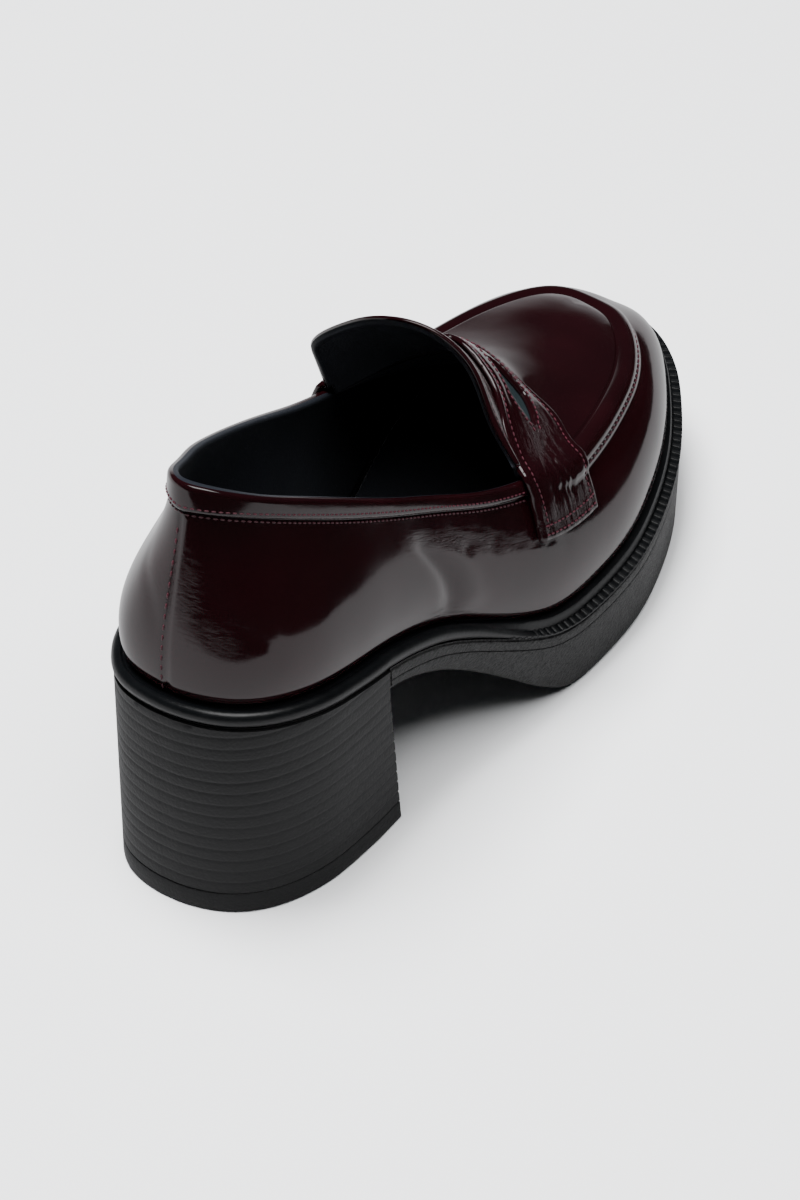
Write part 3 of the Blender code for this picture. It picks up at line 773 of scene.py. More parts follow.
# %% Mesh helpers
def solid_piece(name, points, faces, finishes, pick=None, merge=0.0):
    """A mesh object with smooth shading, its finishes, and close points merged."""
    mesh = bpy.data.meshes.new(name)
    mesh.from_pydata(points.tolist(), [], faces)
    for finish in finishes:
        mesh.materials.append(finish)
    if pick is not None:
        mesh.polygons.foreach_set("material_index", pick)
    mesh.shade_smooth()
    if merge:
        net = bmesh.new()
        net.from_mesh(mesh)
        bmesh.ops.remove_doubles(net, verts=net.verts, dist=merge)
        bmesh.ops.dissolve_degenerate(net, edges=net.edges, dist=merge / 10)
        net.to_mesh(mesh)
        net.free()
    piece = bpy.data.objects.new(name, mesh)
    bpy.context.scene.collection.objects.link(piece)
    return piece


def with_skin_map(mesh, places):
    """Gives each corner its place on the skin in metres, as the UV map named skin."""
    layer = mesh.uv_layers.new(name="skin")
    corners = np.zeros(len(mesh.loops), int)
    mesh.loops.foreach_get("vertex_index", corners)
    layer.data.foreach_set("uv", np.ascontiguousarray(places[corners]).ravel())


def with_attribute(mesh, name, values):
    data = mesh.attributes.new(name, "FLOAT", "POINT")
    data.data.foreach_set("value", np.ascontiguousarray(values, float).ravel())


def sharpen(piece, degrees):
    piece.data.set_sharp_from_angle(angle=math.radians(degrees))


def report(piece):
    triangles = sum(len(p.vertices) - 2 for p in piece.data.polygons)
    print(piece.name, triangles, "triangles")
    return piece


# %% Upper
RIM_RADIUS = 1.5 * MM
RIM_MIDDLE = -0.6 * MM
THROAT_STATION = 8


def upper_skin():
    first = THROAT_STATION * PER_STATION
    last = SECTIONS - first
    opening = 1 - ramp(STATIONS, 7.75, 8.25)[:, None]
    share = np.clip(-ROWS / RIM_RADIUS, 0, 1)
    round_off = 1 - opening * (1 - np.sqrt(1 - (1 - share) ** 2)) * (ROWS <= 0)
    outside = RIM_MIDDLE + (HEIGHT - RIM_MIDDLE) * round_off
    inside = RIM_MIDDLE + (-WALL - RIM_MIDDLE) * round_off
    level = NORMALS.copy()
    level[:, :6, 2] *= np.linspace(0, 1, 6)[None, :]
    level /= np.linalg.norm(level, axis=2)[:, :, None]
    outer = BASE + NORMALS * outside[:, :, None]
    inner = BASE + level * inside[:, :, None]
    rows = ROWS.shape[1]
    count = SECTIONS * rows
    faces, pick = [], []
    for k in range(SECTIONS):
        after = (k + 1) % SECTIONS
        top = rows - 1 if first <= k < last else EDGE_ROW
        for r in range(top):
            a, b = k * rows + r, after * rows + r
            faces.append((a, b, b + 1, a + 1))
            faces.append((a + count, a + 1 + count, b + 1 + count, b + count))
            pick += [0, 1]
        faces.append((after * rows, k * rows, k * rows + count, after * rows + count))
        pick.append(1)
        if not first <= k < last:
            a, b = k * rows + top, after * rows + top
            faces.append((a, b, b + count, a + count))
            pick.append(0)
    for k, flip in ((first, False), (last, True)):
        for r in range(EDGE_ROW, rows - 1):
            a = k * rows + r
            face = (a, a + 1, a + 1 + count, a + count)
            faces.append(face[::-1] if flip else face)
            pick.append(0)
    points = np.concatenate((outer.reshape(-1, 3), inner.reshape(-1, 3)))
    skin = bpy.data.meshes.new("upper_skin")
    skin.from_pydata(points.tolist(), [], faces)
    skin.materials.append(patent)
    skin.materials.append(lining)
    skin.polygons.foreach_set("material_index", pick)
    skin.shade_smooth()
    along = LOOP_PLACES[:, None] * 17 * MM + 0 * ROWS
    place = np.stack((along, ROWS + 0.1), axis=2).reshape(-1, 2)
    with_skin_map(skin, np.concatenate((place, place)))
    mask = crinkle().ravel()
    with_attribute(skin, "crinkle", np.concatenate((mask, mask * 0)))
    net = bmesh.new()
    net.from_mesh(skin)
    loose = [v for v in net.verts if not v.link_faces]
    bmesh.ops.delete(net, geom=loose, context="VERTS")
    bmesh.ops.remove_doubles(net, verts=net.verts, dist=2e-6)
    net.to_mesh(skin)
    net.free()
    piece = bpy.data.objects.new("upper_skin", skin)
    bpy.context.scene.collection.objects.link(piece)
    return piece


upper = report(upper_skin())
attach(upper, "root")
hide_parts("upper")

# %% [markdown]
# ## Laying things on the skin
# Strap, threads and slot backing are all given as a loop place and a distance from the edge. One
# function finds the point and the direction outward there, on the relief or on the smooth drape that
# bridges the apron's seam as a stiff strap does.

# %% Finding places on the skin
def blurred(field, along, across):
    """Blurs a height over the net, along the shoe and across its rows."""
    soft = eased(field, along)
    reach = int(3 * across)
    kernel = bell(np.arange(-reach, reach + 1) / across, 1.0)
    kernel /= kernel.sum()
    padded = np.pad(soft, ((0, 0), (reach, reach)), mode="edge")
    return sum(w * padded[:, i : i + soft.shape[1]] for i, w in enumerate(kernel))


def widest(field, along, across):
    """Greatest height near each point of the net."""
    best = field.copy()
    for i in range(-along, along + 1):
        for j in range(-across, across + 1):
            best = np.maximum(best, np.roll(np.roll(field, i, axis=0), j, axis=1))
    return best


DRAPE = blurred(widest(np.maximum(HEIGHT, 0), 2, 3), 2.0, 2.5)


def on_skin(q, distance, lift=0.0, drape=False):
    """Points and outward directions at loop places and distances from the edge."""
    q = np.atleast_1d(np.asarray(q, float)) % LOOP
    distance = np.broadcast_to(np.asarray(distance, float), q.shape)
    lift = np.broadcast_to(np.asarray(lift, float), q.shape)
    field = DRAPE if drape else HEIGHT
    low = np.floor(q * PER_STATION).astype(int)
    part = q * PER_STATION - low
    low %= SECTIONS
    high = (low + 1) % SECTIONS
    points = np.zeros((len(q), 3))
    outs = np.zeros((len(q), 3))
    for i, (a, b, t, w) in enumerate(zip(low, high, part, distance)):
        for k, share in ((a, 1 - t), (b, t)):
            rows = ROWS[k]
            r = int(np.clip(np.searchsorted(rows, w, side="right") - 1, 0, len(rows) - 2))
            f = np.clip((w - rows[r]) / (rows[r + 1] - rows[r]), 0, 1)
            rise = (field[k, r] * (1 - f) + field[k, r + 1] * f) + lift[i]
            out = NORMALS[k, r] * (1 - f) + NORMALS[k, r + 1] * f
            points[i] += share * (BASE[k, r] * (1 - f) + BASE[k, r + 1] * f + out * rise)
            outs[i] += share * out
    return points, outs / np.linalg.norm(outs, axis=1)[:, None]


def drape_height(q, distance):
    """Height of the smooth drape over the bare net."""
    k = np.round(np.asarray(q) * PER_STATION).astype(int) % SECTIONS
    return np.array([np.interp(w, ROWS[i], DRAPE[i]) for i, w in zip(k, distance)])


def edge_distance(q, share):
    """Distance from the edge of a share: 0 at the welt, 1 at the edge, 2 on the middle line."""
    k = np.round(np.asarray(q) * PER_STATION).astype(int) % SECTIONS
    side = (share - 1) * SIDE_LENGTHS[k, -1]
    return np.where(share <= 1, side, (share - 1) * PLUG_LENGTHS[k, -1])


def closed_sheet(name, top, bottom, finishes, lined=False, merge=4e-6):
    """Closed sheet between two nets of points whose borders meet."""
    rows, columns = top.shape[:2]
    count = rows * columns
    faces, pick = [], []
    for i in range(rows - 1):
        for j in range(columns - 1):
            a = i * columns + j
            faces.append((a, a + 1, a + columns + 1, a + columns))
            faces.append((a + count, a + columns + count, a + columns + 1 + count, a + 1 + count))
            pick += [0, 1 if lined else 0]
    border = [(0, j) for j in range(columns)] + [(i, columns - 1) for i in range(1, rows)]
    border += [(rows - 1, j) for j in range(columns - 2, -1, -1)]
    border += [(i, 0) for i in range(rows - 2, 0, -1)]
    ids = [i * columns + j for i, j in border]
    for a, b in zip(ids, ids[1:] + ids[:1]):
        faces.append((b, a, a + count, b + count))
        pick.append(0)
    points = np.concatenate((top.reshape(-1, 3), bottom.reshape(-1, 3)))
    return solid_piece(name, points, faces, finishes, pick, merge)


def rounded(distance, radius):
    """0 at a border and 1 from the radius on, as a quarter circle."""
    share = np.clip(distance / radius, 0, 1)
    return np.sqrt(1 - (1 - share) ** 2)


# %% [markdown]
# ## Saddle strap
# The penny strap is a stiff double layer with a long slot that ends in a point. Its surface is made of
# a rear and a front half, which meet where there is no slot. The halves' borders are rounded, and soft
# folds run from the slot's point down to the sewn end.

# %% Strap
# Share from the strap's middle to an end, station of its rear and of its front edge
STRAP_EDGES = (
    (0.00, 7.10, 8.46),
    (0.12, 7.48, 8.74),
    (0.25, 7.76, 9.02),
    (0.50, 7.70, 9.50),
    (0.75, 7.80, 9.36),
    (1.00, 7.70, 9.04),
)
STRAP_DROP = 0.435
STRAP_LIFT = 0.35 * MM
STRAP_THICKNESS = 1.6 * MM
STRAP_ROUND = 0.9 * MM
SLOT_END = 0.50
SLOT_HALF = 0.20
SLOT_TAPER = 0.17
SLOT_ROUND = 0.45 * MM
STRAP_COLUMNS = 150
HALF_ROWS = 20
# Folds of the strap: share across at both ends, part of the width there, width and depth in mm
STRAP_FOLDS = (
    (0.50, 0.53, 0.80, 0.44, 1.0, -0.42),
    (0.50, 0.58, 0.86, 0.60, 0.8, -0.40),
    (0.48, 0.46, 0.84, 0.30, 0.9, -0.26),
    (0.54, 0.66, 0.74, 0.78, 0.8, -0.26),
    (0.60, 0.50, 0.90, 0.52, 0.5, -0.26),
    (0.80, 0.30, 0.97, 0.28, 0.9, -0.30),
    (0.84, 0.44, 0.97, 0.45, 0.5, -0.24),
    (0.84, 0.60, 0.97, 0.61, 0.5, -0.24),
    (0.84, 0.72, 0.97, 0.74, 0.5, -0.22),
    (0.30, 0.22, 0.62, 0.18, 1.2, -0.20),
)


def strap_place(share, part):
    """Loop place and distance from the edge for a share across and a part of the width."""
    rear, front = np.array([column(STRAP_EDGES, abs(s)) for s in np.atleast_1d(share)]).T
    station = rear + (front - rear) * part
    q = np.where(share <= 0, station, LOOP - station)
    return q, edge_distance(q, 2 - np.abs(share) * (1 + STRAP_DROP))


def slot_half(share):
    open_share = np.clip((SLOT_END - np.abs(share)) / SLOT_TAPER, 0, 1)
    return SLOT_HALF * open_share**0.9 * (1 - 0.5 * bell(share, 0.22))


def strap_net(front):
    """Shares, parts and border distances of one half of the strap."""
    share = np.linspace(-1, 1, STRAP_COLUMNS)[None, :] + np.zeros((HALF_ROWS, 1))
    half = slot_half(share)
    ease = (1 - np.cos(np.pi * np.linspace(0, 1, HALF_ROWS)))[:, None] / 2
    part = ease * (0.5 - half) if not front else 0.5 + half + ease * (0.5 - half)
    width = 24 * MM
    from_edge = (1 - part if front else part) * width
    from_slot = (part - 0.5 - half if front else 0.5 - half - part) * width
    slot_open = np.clip(half / 0.03, 0, 1)
    from_end = (1 - np.abs(share)) * 52 * MM
    shape = rounded(from_edge, STRAP_ROUND) * rounded(from_end, STRAP_ROUND)
    shape = shape * (1 - slot_open * (1 - rounded(from_slot, SLOT_ROUND)))
    return share, part, shape


def strap_folds(share, part):
    height = np.zeros(share.shape)
    for start, start_part, end, end_part, width, depth in STRAP_FOLDS:
        t = np.clip((np.abs(share) - start) / (end - start), 0, 1)
        wobble = 0.012 * np.sin(21 * t + 40 * start_part)
        gap = (part - start_part - (end_part - start_part) * t - wobble) * 26 * MM
        reach = np.sin(np.pi * np.clip((np.abs(share) - start + 0.06) / (end - start + 0.1), 0, 1)) ** 0.5
        height += depth * MM * bell(gap, width * MM) * reach
    return height


def strap_body(q, distance, share):
    """Thickness of the strap: its sewn end is built up, so that it hardly dips behind the roll."""
    drape = drape_height(q, distance)
    return np.maximum(STRAP_THICKNESS, (2.7 * MM - drape) * ramp(np.abs(share), 0.45, 0.75))


def strap_half(front):
    share, part, shape = strap_net(front)
    flat_share, flat_part = share.ravel(), part.ravel()
    q, distance = strap_place(flat_share, flat_part)
    under, out = on_skin(q, distance, STRAP_LIFT, drape=True)
    puff = 0.25 * MM * np.sin(np.pi * flat_part)
    stitched = 0.22 * MM * (bell(flat_part - 0.1, 0.03) + bell(flat_part - 0.9, 0.03))
    full = strap_body(q, distance, flat_share) + puff + strap_folds(flat_share, flat_part) - stitched
    middle = STRAP_THICKNESS * 0.45
    thick = shape.ravel()
    top = under + out * (middle + (full - middle) * thick)[:, None]
    low = under + out * (middle * (1 - thick))[:, None]
    return top.reshape(*share.shape, 3), low.reshape(*share.shape, 3), share, part


def make_strap():
    halves = [strap_half(front) for front in (False, True)]
    sheets = []
    for name, (t, l, share, part) in zip(("rear", "front"), halves):
        made = closed_sheet("strap_" + name, t, l, [patent], merge=0)
        place = np.stack((share * 52 * MM, part * 24 * MM), axis=2).reshape(-1, 2)
        with_skin_map(made.data, np.concatenate((place, place)) + 0.2)
        mask = 0.02 + 1.50 * bell(np.abs(share) - 0.58, 0.12) * bell(part - 0.50, 0.26)
        mask = np.maximum(mask, 1.00 * bell(np.abs(share) - 0.92, 0.07)).ravel()
        with_attribute(made.data, "crinkle", np.concatenate((mask, mask * 0)))
        sheets.append(made)
    net = bmesh.new()
    for sheet in sheets:
        net.from_mesh(sheet.data)
        bpy.data.objects.remove(sheet)
    bmesh.ops.remove_doubles(net, verts=net.verts, dist=8e-6)
    doubled = [e for e in net.edges if len(e.link_faces) > 2]
    inside = {f for e in doubled for f in e.link_faces if all(len(x.link_faces) > 2 for x in f.edges)}
    bmesh.ops.delete(net, geom=list(inside), context="FACES")
    mesh = bpy.data.meshes.new("strap_skin")
    net.to_mesh(mesh)
    net.free()
    mesh.materials.append(patent)
    mesh.shade_smooth()
    piece = bpy.data.objects.new("strap_skin", mesh)
    bpy.context.scene.collection.objects.link(piece)
    return piece


strap = report(make_strap())
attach(strap, "root")
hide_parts("saddle_strap")


# %% Slot backing
def make_backing():
    """Thin dark layer that shows through the slot."""
    share = np.linspace(-0.56, 0.56, 60)[None, :] + np.zeros((9, 1))
    part = np.linspace(0.27, 0.73, 9)[:, None] + np.zeros(share.shape)
    q, distance = strap_place(share.ravel(), part.ravel())
    low, out = on_skin(q, distance, 0.08 * MM, drape=True)
    top = low + out * (STRAP_LIFT - 0.12 * MM)
    shape = (*share.shape, 3)
    return closed_sheet("slot_backing", top.reshape(shape), low.reshape(shape), [backing_rubber])


backing = report(make_backing())
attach(backing, "root")

# %% [markdown]
# ## Tongue
# The tongue goes on from the vamp under the strap, turns up and back, and spreads into a fan. Its net
# runs from the throat line to the free edge. A narrow binding rolls over that edge, and the foot's
# side is lined.

# %% Tongue
# Free edge of the tongue: share across, along, out and height above the throat's corner
TONGUE_EDGE = (
    (0.00, 0.480, -0.330, 0.100),
    (0.16, 0.484, -0.242, 0.330),
    (0.32, 0.504, -0.140, 0.628),
    (0.47, 0.502, -0.030, 0.785),
    (0.60, 0.496, 0.090, 0.800),
    (0.74, 0.476, 0.200, 0.755),
    (0.86, 0.450, 0.304, 0.590),
    (0.94, 0.460, 0.298, 0.390),
    (1.00, 0.474, 0.290, 0.150),
)
TONGUE_REACH = 44 * MM
TONGUE_WALL = 1.8 * MM
TONGUE_STATION = 7.94
BINDING = 2.2 * MM
BINDING_RISE = 0.35 * MM


def tongue_net(columns=130, rows=44):
    share = np.linspace(0, 1, columns)
    side = share * 2 - 1
    q = np.where(side <= 0, TONGUE_STATION, LOOP - TONGUE_STATION)
    place = np.maximum(2 - np.abs(side), 1.02)
    base, out = on_skin(q, edge_distance(q, place), -0.1 * MM)
    corner = on_skin(TONGUE_STATION, 0.0)[0][0]
    edge = np.array([column(TONGUE_EDGE, s) for s in share])
    free = np.stack(
        (
            edge[:, 0] * LENGTH + LAST_SHIFT[0],
            edge[:, 1] * BALL_WIDTH + LAST_SHIFT[1],
            corner[2] + edge[:, 2] * TONGUE_REACH,
        ),
        axis=1,
    )
    t = np.linspace(0, 1, rows)[None, :, None]
    swell = 4 * t * (1 - t) * 1.2 * MM
    points = base[:, None] * (1 - t) + free[:, None] * t + swell * np.array((0, 0, 1))

    def smooth(width):
        reach = int(2 * width)
        kernel = bell(np.arange(-reach, reach + 1) / width, 1.0)
        kernel /= kernel.sum()
        padded = np.pad(points, ((reach, reach), (0, 0), (0, 0)), mode="reflect", reflect_type="odd")
        return sum(w * padded[i : i + columns] for i, w in enumerate(kernel))

    arched = bell(side, 0.5)[:, None, None] * ramp(t, 0.0, 0.22)
    return smooth(3.0) * (1 - arched) + smooth(17.0) * arched


def make_tongue():
    points = tongue_net()
    across = np.gradient(points, axis=0)
    up = np.gradient(points, axis=1)
    out = np.cross(across, up)
    out /= np.linalg.norm(out, axis=2)[:, :, None]
    run = np.concatenate(
        (np.zeros((len(points), 1)), np.cumsum(np.linalg.norm(np.diff(points, axis=1), axis=2), axis=1)),
        axis=1,
    )
    from_free = run[:, -1:] - run
    width = np.linalg.norm(np.diff(points, axis=0), axis=2)
    walk = np.concatenate((np.zeros((1, points.shape[1])), np.cumsum(width, axis=0)))
    from_side = np.minimum(walk, walk[-1:] - walk)
    edge = np.minimum(from_free, from_side)
    thick = rounded(edge, 0.9 * MM)
    binding = BINDING_RISE * ramp(edge, BINDING + 0.3 * MM, BINDING - 0.2 * MM)
    groove = 0.18 * MM * bell(edge - BINDING - 0.5 * MM, 0.4 * MM)
    folds = 0.35 * MM * np.sin(walk / (7 * MM)) * ramp(from_free, 4 * MM, 12 * MM)
    middle = -TONGUE_WALL / 2
    top = middle + (binding - groove + folds - middle) * thick
    low = middle + (-TONGUE_WALL - 0.6 * binding + folds - middle) * thick
    piece = closed_sheet(
        "tongue_skin",
        points + out * top[:, :, None],
        points + out * low[:, :, None],
        [patent, lining],
        lined=True,
        merge=0,
    )
    place = np.stack((walk, run), axis=2).reshape(-1, 2) + 0.3
    with_skin_map(piece.data, np.concatenate((place, place)))
    mask = np.full(walk.size, 0.1)
    with_attribute(piece.data, "crinkle", np.concatenate((mask, mask)))
    return piece, points + out * top[:, :, None], out, edge


tongue, TONGUE_TOP, TONGUE_OUT, TONGUE_FROM_EDGE = make_tongue()
report(tongue)
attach(tongue, "root")
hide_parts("tongue")

# %% [markdown]
# ## Threads and ribs: pieces in a row
# Stitches and welt ribs are the same problem: one small piece, repeated at an even pitch along a path,
# turned with it. One Geometry Nodes tree does both. The path is a mesh line with an `up` vector at
# each point, and the tree turns it into a curve, resamples it, and stands the piece on each point.


# %% A tree that lays pieces in a row
def row_tree():
    tree = bpy.data.node_groups.new("pieces_in_a_row", "GeometryNodeTree")
    sockets = (
        ("Geometry", "NodeSocketGeometry"),
        ("Piece", "NodeSocketObject"),
        ("Pitch", "NodeSocketFloat"),
        ("Finish", "NodeSocketMaterial"),
    )
    for name, kind in sockets:
        tree.interface.new_socket(name, in_out="INPUT", socket_type=kind)
    tree.interface.new_socket("Geometry", in_out="OUTPUT", socket_type="NodeSocketGeometry")

    def node(kind, **settings):
        made = tree.nodes.new(kind)
        for name, value in settings.items():
            setattr(made, name, value)
        return made

    inputs, outputs = node("NodeGroupInput"), node("NodeGroupOutput")
    to_curve = node("GeometryNodeMeshToCurve")
    resample = node("GeometryNodeResampleCurve", mode="LENGTH")
    stand = node("GeometryNodeInstanceOnPoints")
    tangent = node("GeometryNodeInputTangent")
    up = node("GeometryNodeInputNamedAttribute", data_type="FLOAT_VECTOR")
    up.inputs["Name"].default_value = "up"
    along = node("FunctionNodeAlignRotationToVector", axis="X")
    level = node("FunctionNodeAlignRotationToVector", axis="Z", pivot_axis="X")
    info = node("GeometryNodeObjectInfo")
    realize = node("GeometryNodeRealizeInstances")
    finish = node("GeometryNodeSetMaterial")
    links = (
        (inputs.outputs["Geometry"], to_curve.inputs["Mesh"]),
        (to_curve.outputs["Curve"], resample.inputs["Curve"]),
        (inputs.outputs["Pitch"], resample.inputs["Length"]),
        (resample.outputs["Curve"], stand.inputs["Points"]),
        (inputs.outputs["Piece"], info.inputs["Object"]),
        (info.outputs["Geometry"], stand.inputs["Instance"]),
        (tangent.outputs["Tangent"], along.inputs["Vector"]),
        (along.outputs["Rotation"], level.inputs["Rotation"]),
        (up.outputs["Attribute"], level.inputs["Vector"]),
        (level.outputs["Rotation"], stand.inputs["Rotation"]),
        (stand.outputs["Instances"], realize.inputs["Geometry"]),
        (realize.outputs["Geometry"], finish.inputs["Geometry"]),
        (inputs.outputs["Finish"], finish.inputs["Material"]),
        (finish.outputs["Geometry"], outputs.inputs["Geometry"]),
    )
    for start, end in links:
        tree.links.new(start, end)
    return tree


ROW_TREE = row_tree()


def laid_in_rows(name, paths, piece, pitch, finish):
    """Plain mesh of pieces laid along paths, each a pair of points and up directions."""
    points, ups, edges = [], [], []
    for line, directions in paths:
        start = len(points)
        points += np.asarray(line).tolist()
        ups += np.asarray(directions).tolist()
        edges += [(start + i, start + i + 1) for i in range(len(line) - 1)]
    mesh = bpy.data.meshes.new(name)
    mesh.from_pydata(points, edges, [])
    data = mesh.attributes.new("up", "FLOAT_VECTOR", "POINT")
    data.data.foreach_set("vector", np.array(ups, float).ravel())
    made = bpy.data.objects.new(name, mesh)
    bpy.context.scene.collection.objects.link(made)
    modifier = made.modifiers.new("row", "NODES")
    modifier.node_group = ROW_TREE
    values = {"Piece": piece, "Pitch": pitch, "Finish": finish}
    for socket in ROW_TREE.interface.items_tree:
        if socket.in_out == "INPUT" and socket.name in values:
            modifier[socket.identifier] = values[socket.name]
    seen = made.evaluated_get(bpy.context.evaluated_depsgraph_get())
    plain = bpy.data.meshes.new_from_object(seen)
    made.modifiers.clear()
    made.data = plain
    plain.shade_smooth()
    return report(made)


def small_piece(name, half, rings=4, around_it=8, power=2.0):
    """Bar along X with the given half sizes: round at power 2, blockier with more."""

    def squared(value):
        return math.copysign(abs(value) ** (2 / power), value)

    points = [(-half[0], 0, 0)]
    for i in range(1, rings + 1):
        t = -1 + 2 * i / (rings + 1)
        swell = (1 - abs(t) ** power) ** 0.5
        for j in range(around_it):
            turn = 2 * math.pi * (j + 0.5) / around_it
            out, up = squared(math.cos(turn)), squared(math.sin(turn))
            points.append((half[0] * t, half[1] * swell * out, half[2] * swell * up))
    points.append((half[0], 0, 0))
    faces = [(0, 1 + (j + 1) % around_it, 1 + j) for j in range(around_it)]
    for i in range(rings - 1):
        a, b = 1 + i * around_it, 1 + (i + 1) * around_it
        for j in range(around_it):
            after = (j + 1) % around_it
            faces.append((a + j, a + after, b + after, b + j))
    tip = len(points) - 1
    a = 1 + (rings - 1) * around_it
    faces += [(tip, a + j, a + (j + 1) % around_it) for j in range(around_it)]
    mesh = bpy.data.meshes.new(name)
    mesh.from_pydata(points, [], faces)
    mesh.shade_smooth()
    return bpy.data.objects.new(name, mesh)


# %% [markdown]
# ### Where the threads run
# Two fine rows frame the groove of the collar band. One row holds the apron seam, one the back seam,
# one the tongue's binding. The strap has a row along each edge and round the slot, and a close double
# row across each end.

# %% Stitch paths
LIFT_OF_THREAD = 0.05 * MM


def skin_path(places, distances):
    return on_skin(places, distances, LIFT_OF_THREAD)


def collar_rows():
    outer = np.linspace(0.15, 7.75, 260)
    places = np.concatenate((-outer[::-1], outer))
    band = np.interp(np.abs(places), STATIONS[: SECTIONS // 2], band_width[: SECTIONS // 2])
    return [skin_path(places, -band + 1.45 * MM), skin_path(places, -band - 1.05 * MM)]


def apron_row():
    places = np.linspace(9.05, LOOP - 9.05, 420)
    return [skin_path(places, -7.55 * MM + 0 * places)]


def back_rows():
    heights = np.linspace(0.02, 0.76, 60)
    places = np.zeros(60)
    distance = edge_distance(places, heights)
    return [skin_path(places - 0.10, distance)]


def strap_path(share, part):
    q, distance = strap_place(share, part)
    under, out = on_skin(q, distance, STRAP_LIFT, drape=True)
    puff = 0.25 * MM * np.sin(np.pi * part)
    stitched = 0.22 * MM * (bell(part - 0.1, 0.03) + bell(part - 0.9, 0.03))
    top = strap_body(q, distance, share) + puff + strap_folds(share, part) - stitched
    return under + out * (top + LIFT_OF_THREAD)[:, None], out


def strap_rows():
    share = np.linspace(-0.93, 0.93, 240)
    rows = [strap_path(share, np.full(240, part)) for part in (0.1, 0.9)]
    near = np.linspace(-SLOT_END - 0.015, SLOT_END + 0.015, 150)
    for sign in (-1, 1):
        beside = slot_half(near) + 0.062 * np.clip(1.5 - np.abs(near), 0, 1)
        rows.append(strap_path(near, 0.5 + sign * beside))
    for sign in (-1, 1):
        for end in (0.925, 0.965):
            part = np.linspace(0.07, 0.93, 60)
            rows.append(strap_path(np.full(60, sign * end), part))
    return rows


def tongue_rows():
    columns = np.arange(6, TONGUE_TOP.shape[0] - 6)
    line, outs = [], []
    for i in columns:
        j = int(np.argmin(np.abs(TONGUE_FROM_EDGE[i, TONGUE_TOP.shape[1] // 3 :] - 3.0 * MM)))
        j += TONGUE_TOP.shape[1] // 3
        line.append(TONGUE_TOP[i, j] + TONGUE_OUT[i, j] * LIFT_OF_THREAD)
        outs.append(TONGUE_OUT[i, j])
    return [(np.array(line), np.array(outs))]


# %% Stitches
fine_stitch = small_piece("fine_stitch", (0.66 * MM, 0.25 * MM, 0.21 * MM))
long_stitch = small_piece("long_stitch", (0.95 * MM, 0.28 * MM, 0.25 * MM))
threads = {
    "collar_stitches": (collar_rows(), fine_stitch, 1.75 * MM),
    "apron_stitches": (apron_row(), long_stitch, 2.5 * MM),
    "back_stitches": (back_rows(), long_stitch, 3.0 * MM),
    "strap_stitches": (strap_rows(), fine_stitch, 1.7 * MM),
    "tongue_stitches": (tongue_rows(), fine_stitch, 2.0 * MM),
}
for name, (paths, stitch, pitch) in threads.items():
    made = laid_in_rows(name, paths, stitch, pitch, thread)
    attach(made, "root")
for stitch in (fine_stitch, long_stitch):
    bpy.data.objects.remove(stitch)

# %% [markdown]
# ## Welt
# Behind, the welt is one round bead. In front, a smooth rand lies against the leather, and outside it a
# flange slopes down to the edge. The section changes from one to the other between two stations, and
# the ribs, made by the row tree, fade in on the flange.

# %% Welt ring
# Half a section, inner ledge to inner ledge: out as a share of the flange, up as a share of the height
BEAD = (
    (0.30, 0.000),
    (0.62, 0.020),
    (0.86, 0.140),
    (1.00, 0.340),
    (1.03, 0.480),
    (1.00, 0.640),
    (0.88, 0.820),
    (0.66, 0.950),
    (0.40, 1.000),
    (0.20, 0.985),
    (0.10, 0.930),
    (0.06, 0.900),
)
RAND = (
    (0.30, 0.000),
    (0.94, 0.020),
    (1.00, 0.060),
    (1.00, 0.130),
    (0.97, 0.165),
    (0.80, 0.220),
    (0.52, 0.310),
    (0.41, 0.300),
    (0.36, 0.420),
    (0.33, 0.800),
    (0.24, 0.960),
    (0.06, 1.000),
)


def forefoot(q):
    """0 at heel and waist, 1 where the welt has its flange."""
    t = min(1.0, max(0.0, (station_of(q) - 6.2) / 1.5))
    return t * t * (3 - 2 * t)


def welt_section(q):
    blend = forefoot(q)
    rows = []
    for bead, rand in zip(BEAD, RAND):
        out = (bead[0] * (1 - blend) + rand[0] * blend) * flange(q)
        up = (bead[1] * (1 - blend) + rand[1] * blend) * (WELT_HEIGHT - CLEARANCE)
        rows.append((out, up))
    return [(-WELT_LEDGE, 0.0)] + rows + [(-WELT_LEDGE, WELT_HEIGHT - CLEARANCE)]


def welt_point(q, out, up):
    flat, _ = plan(q, out)
    return np.array((*flat, sole_top(flat[0]) + CLEARANCE + up)) + LAST_SHIFT


def ring_faces(rings, size):
    faces = []
    for k in range(rings):
        after = (k + 1) % rings
        for r in range(size):
            up = (r + 1) % size
            faces.append((k * size + r, after * size + r, after * size + up, k * size + up))
    return faces


def make_welt():
    places = np.linspace(0, LOOP, 400, endpoint=False)
    points = [welt_point(q, out, up) for q in places for out, up in welt_section(q)]
    size = len(BEAD) + 2
    ring = solid_piece("welt_ring", np.array(points), ring_faces(len(places), size), [bead_rubber])
    sharpen(ring, 50)
    return ring


welt = report(make_welt())
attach(welt, "root")
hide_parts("welt")

# %% Welt ribs
RIB_PITCH = 2.65 * MM
RIB_HALF = (0.86 * MM, 1.28 * MM, 0.52 * MM)


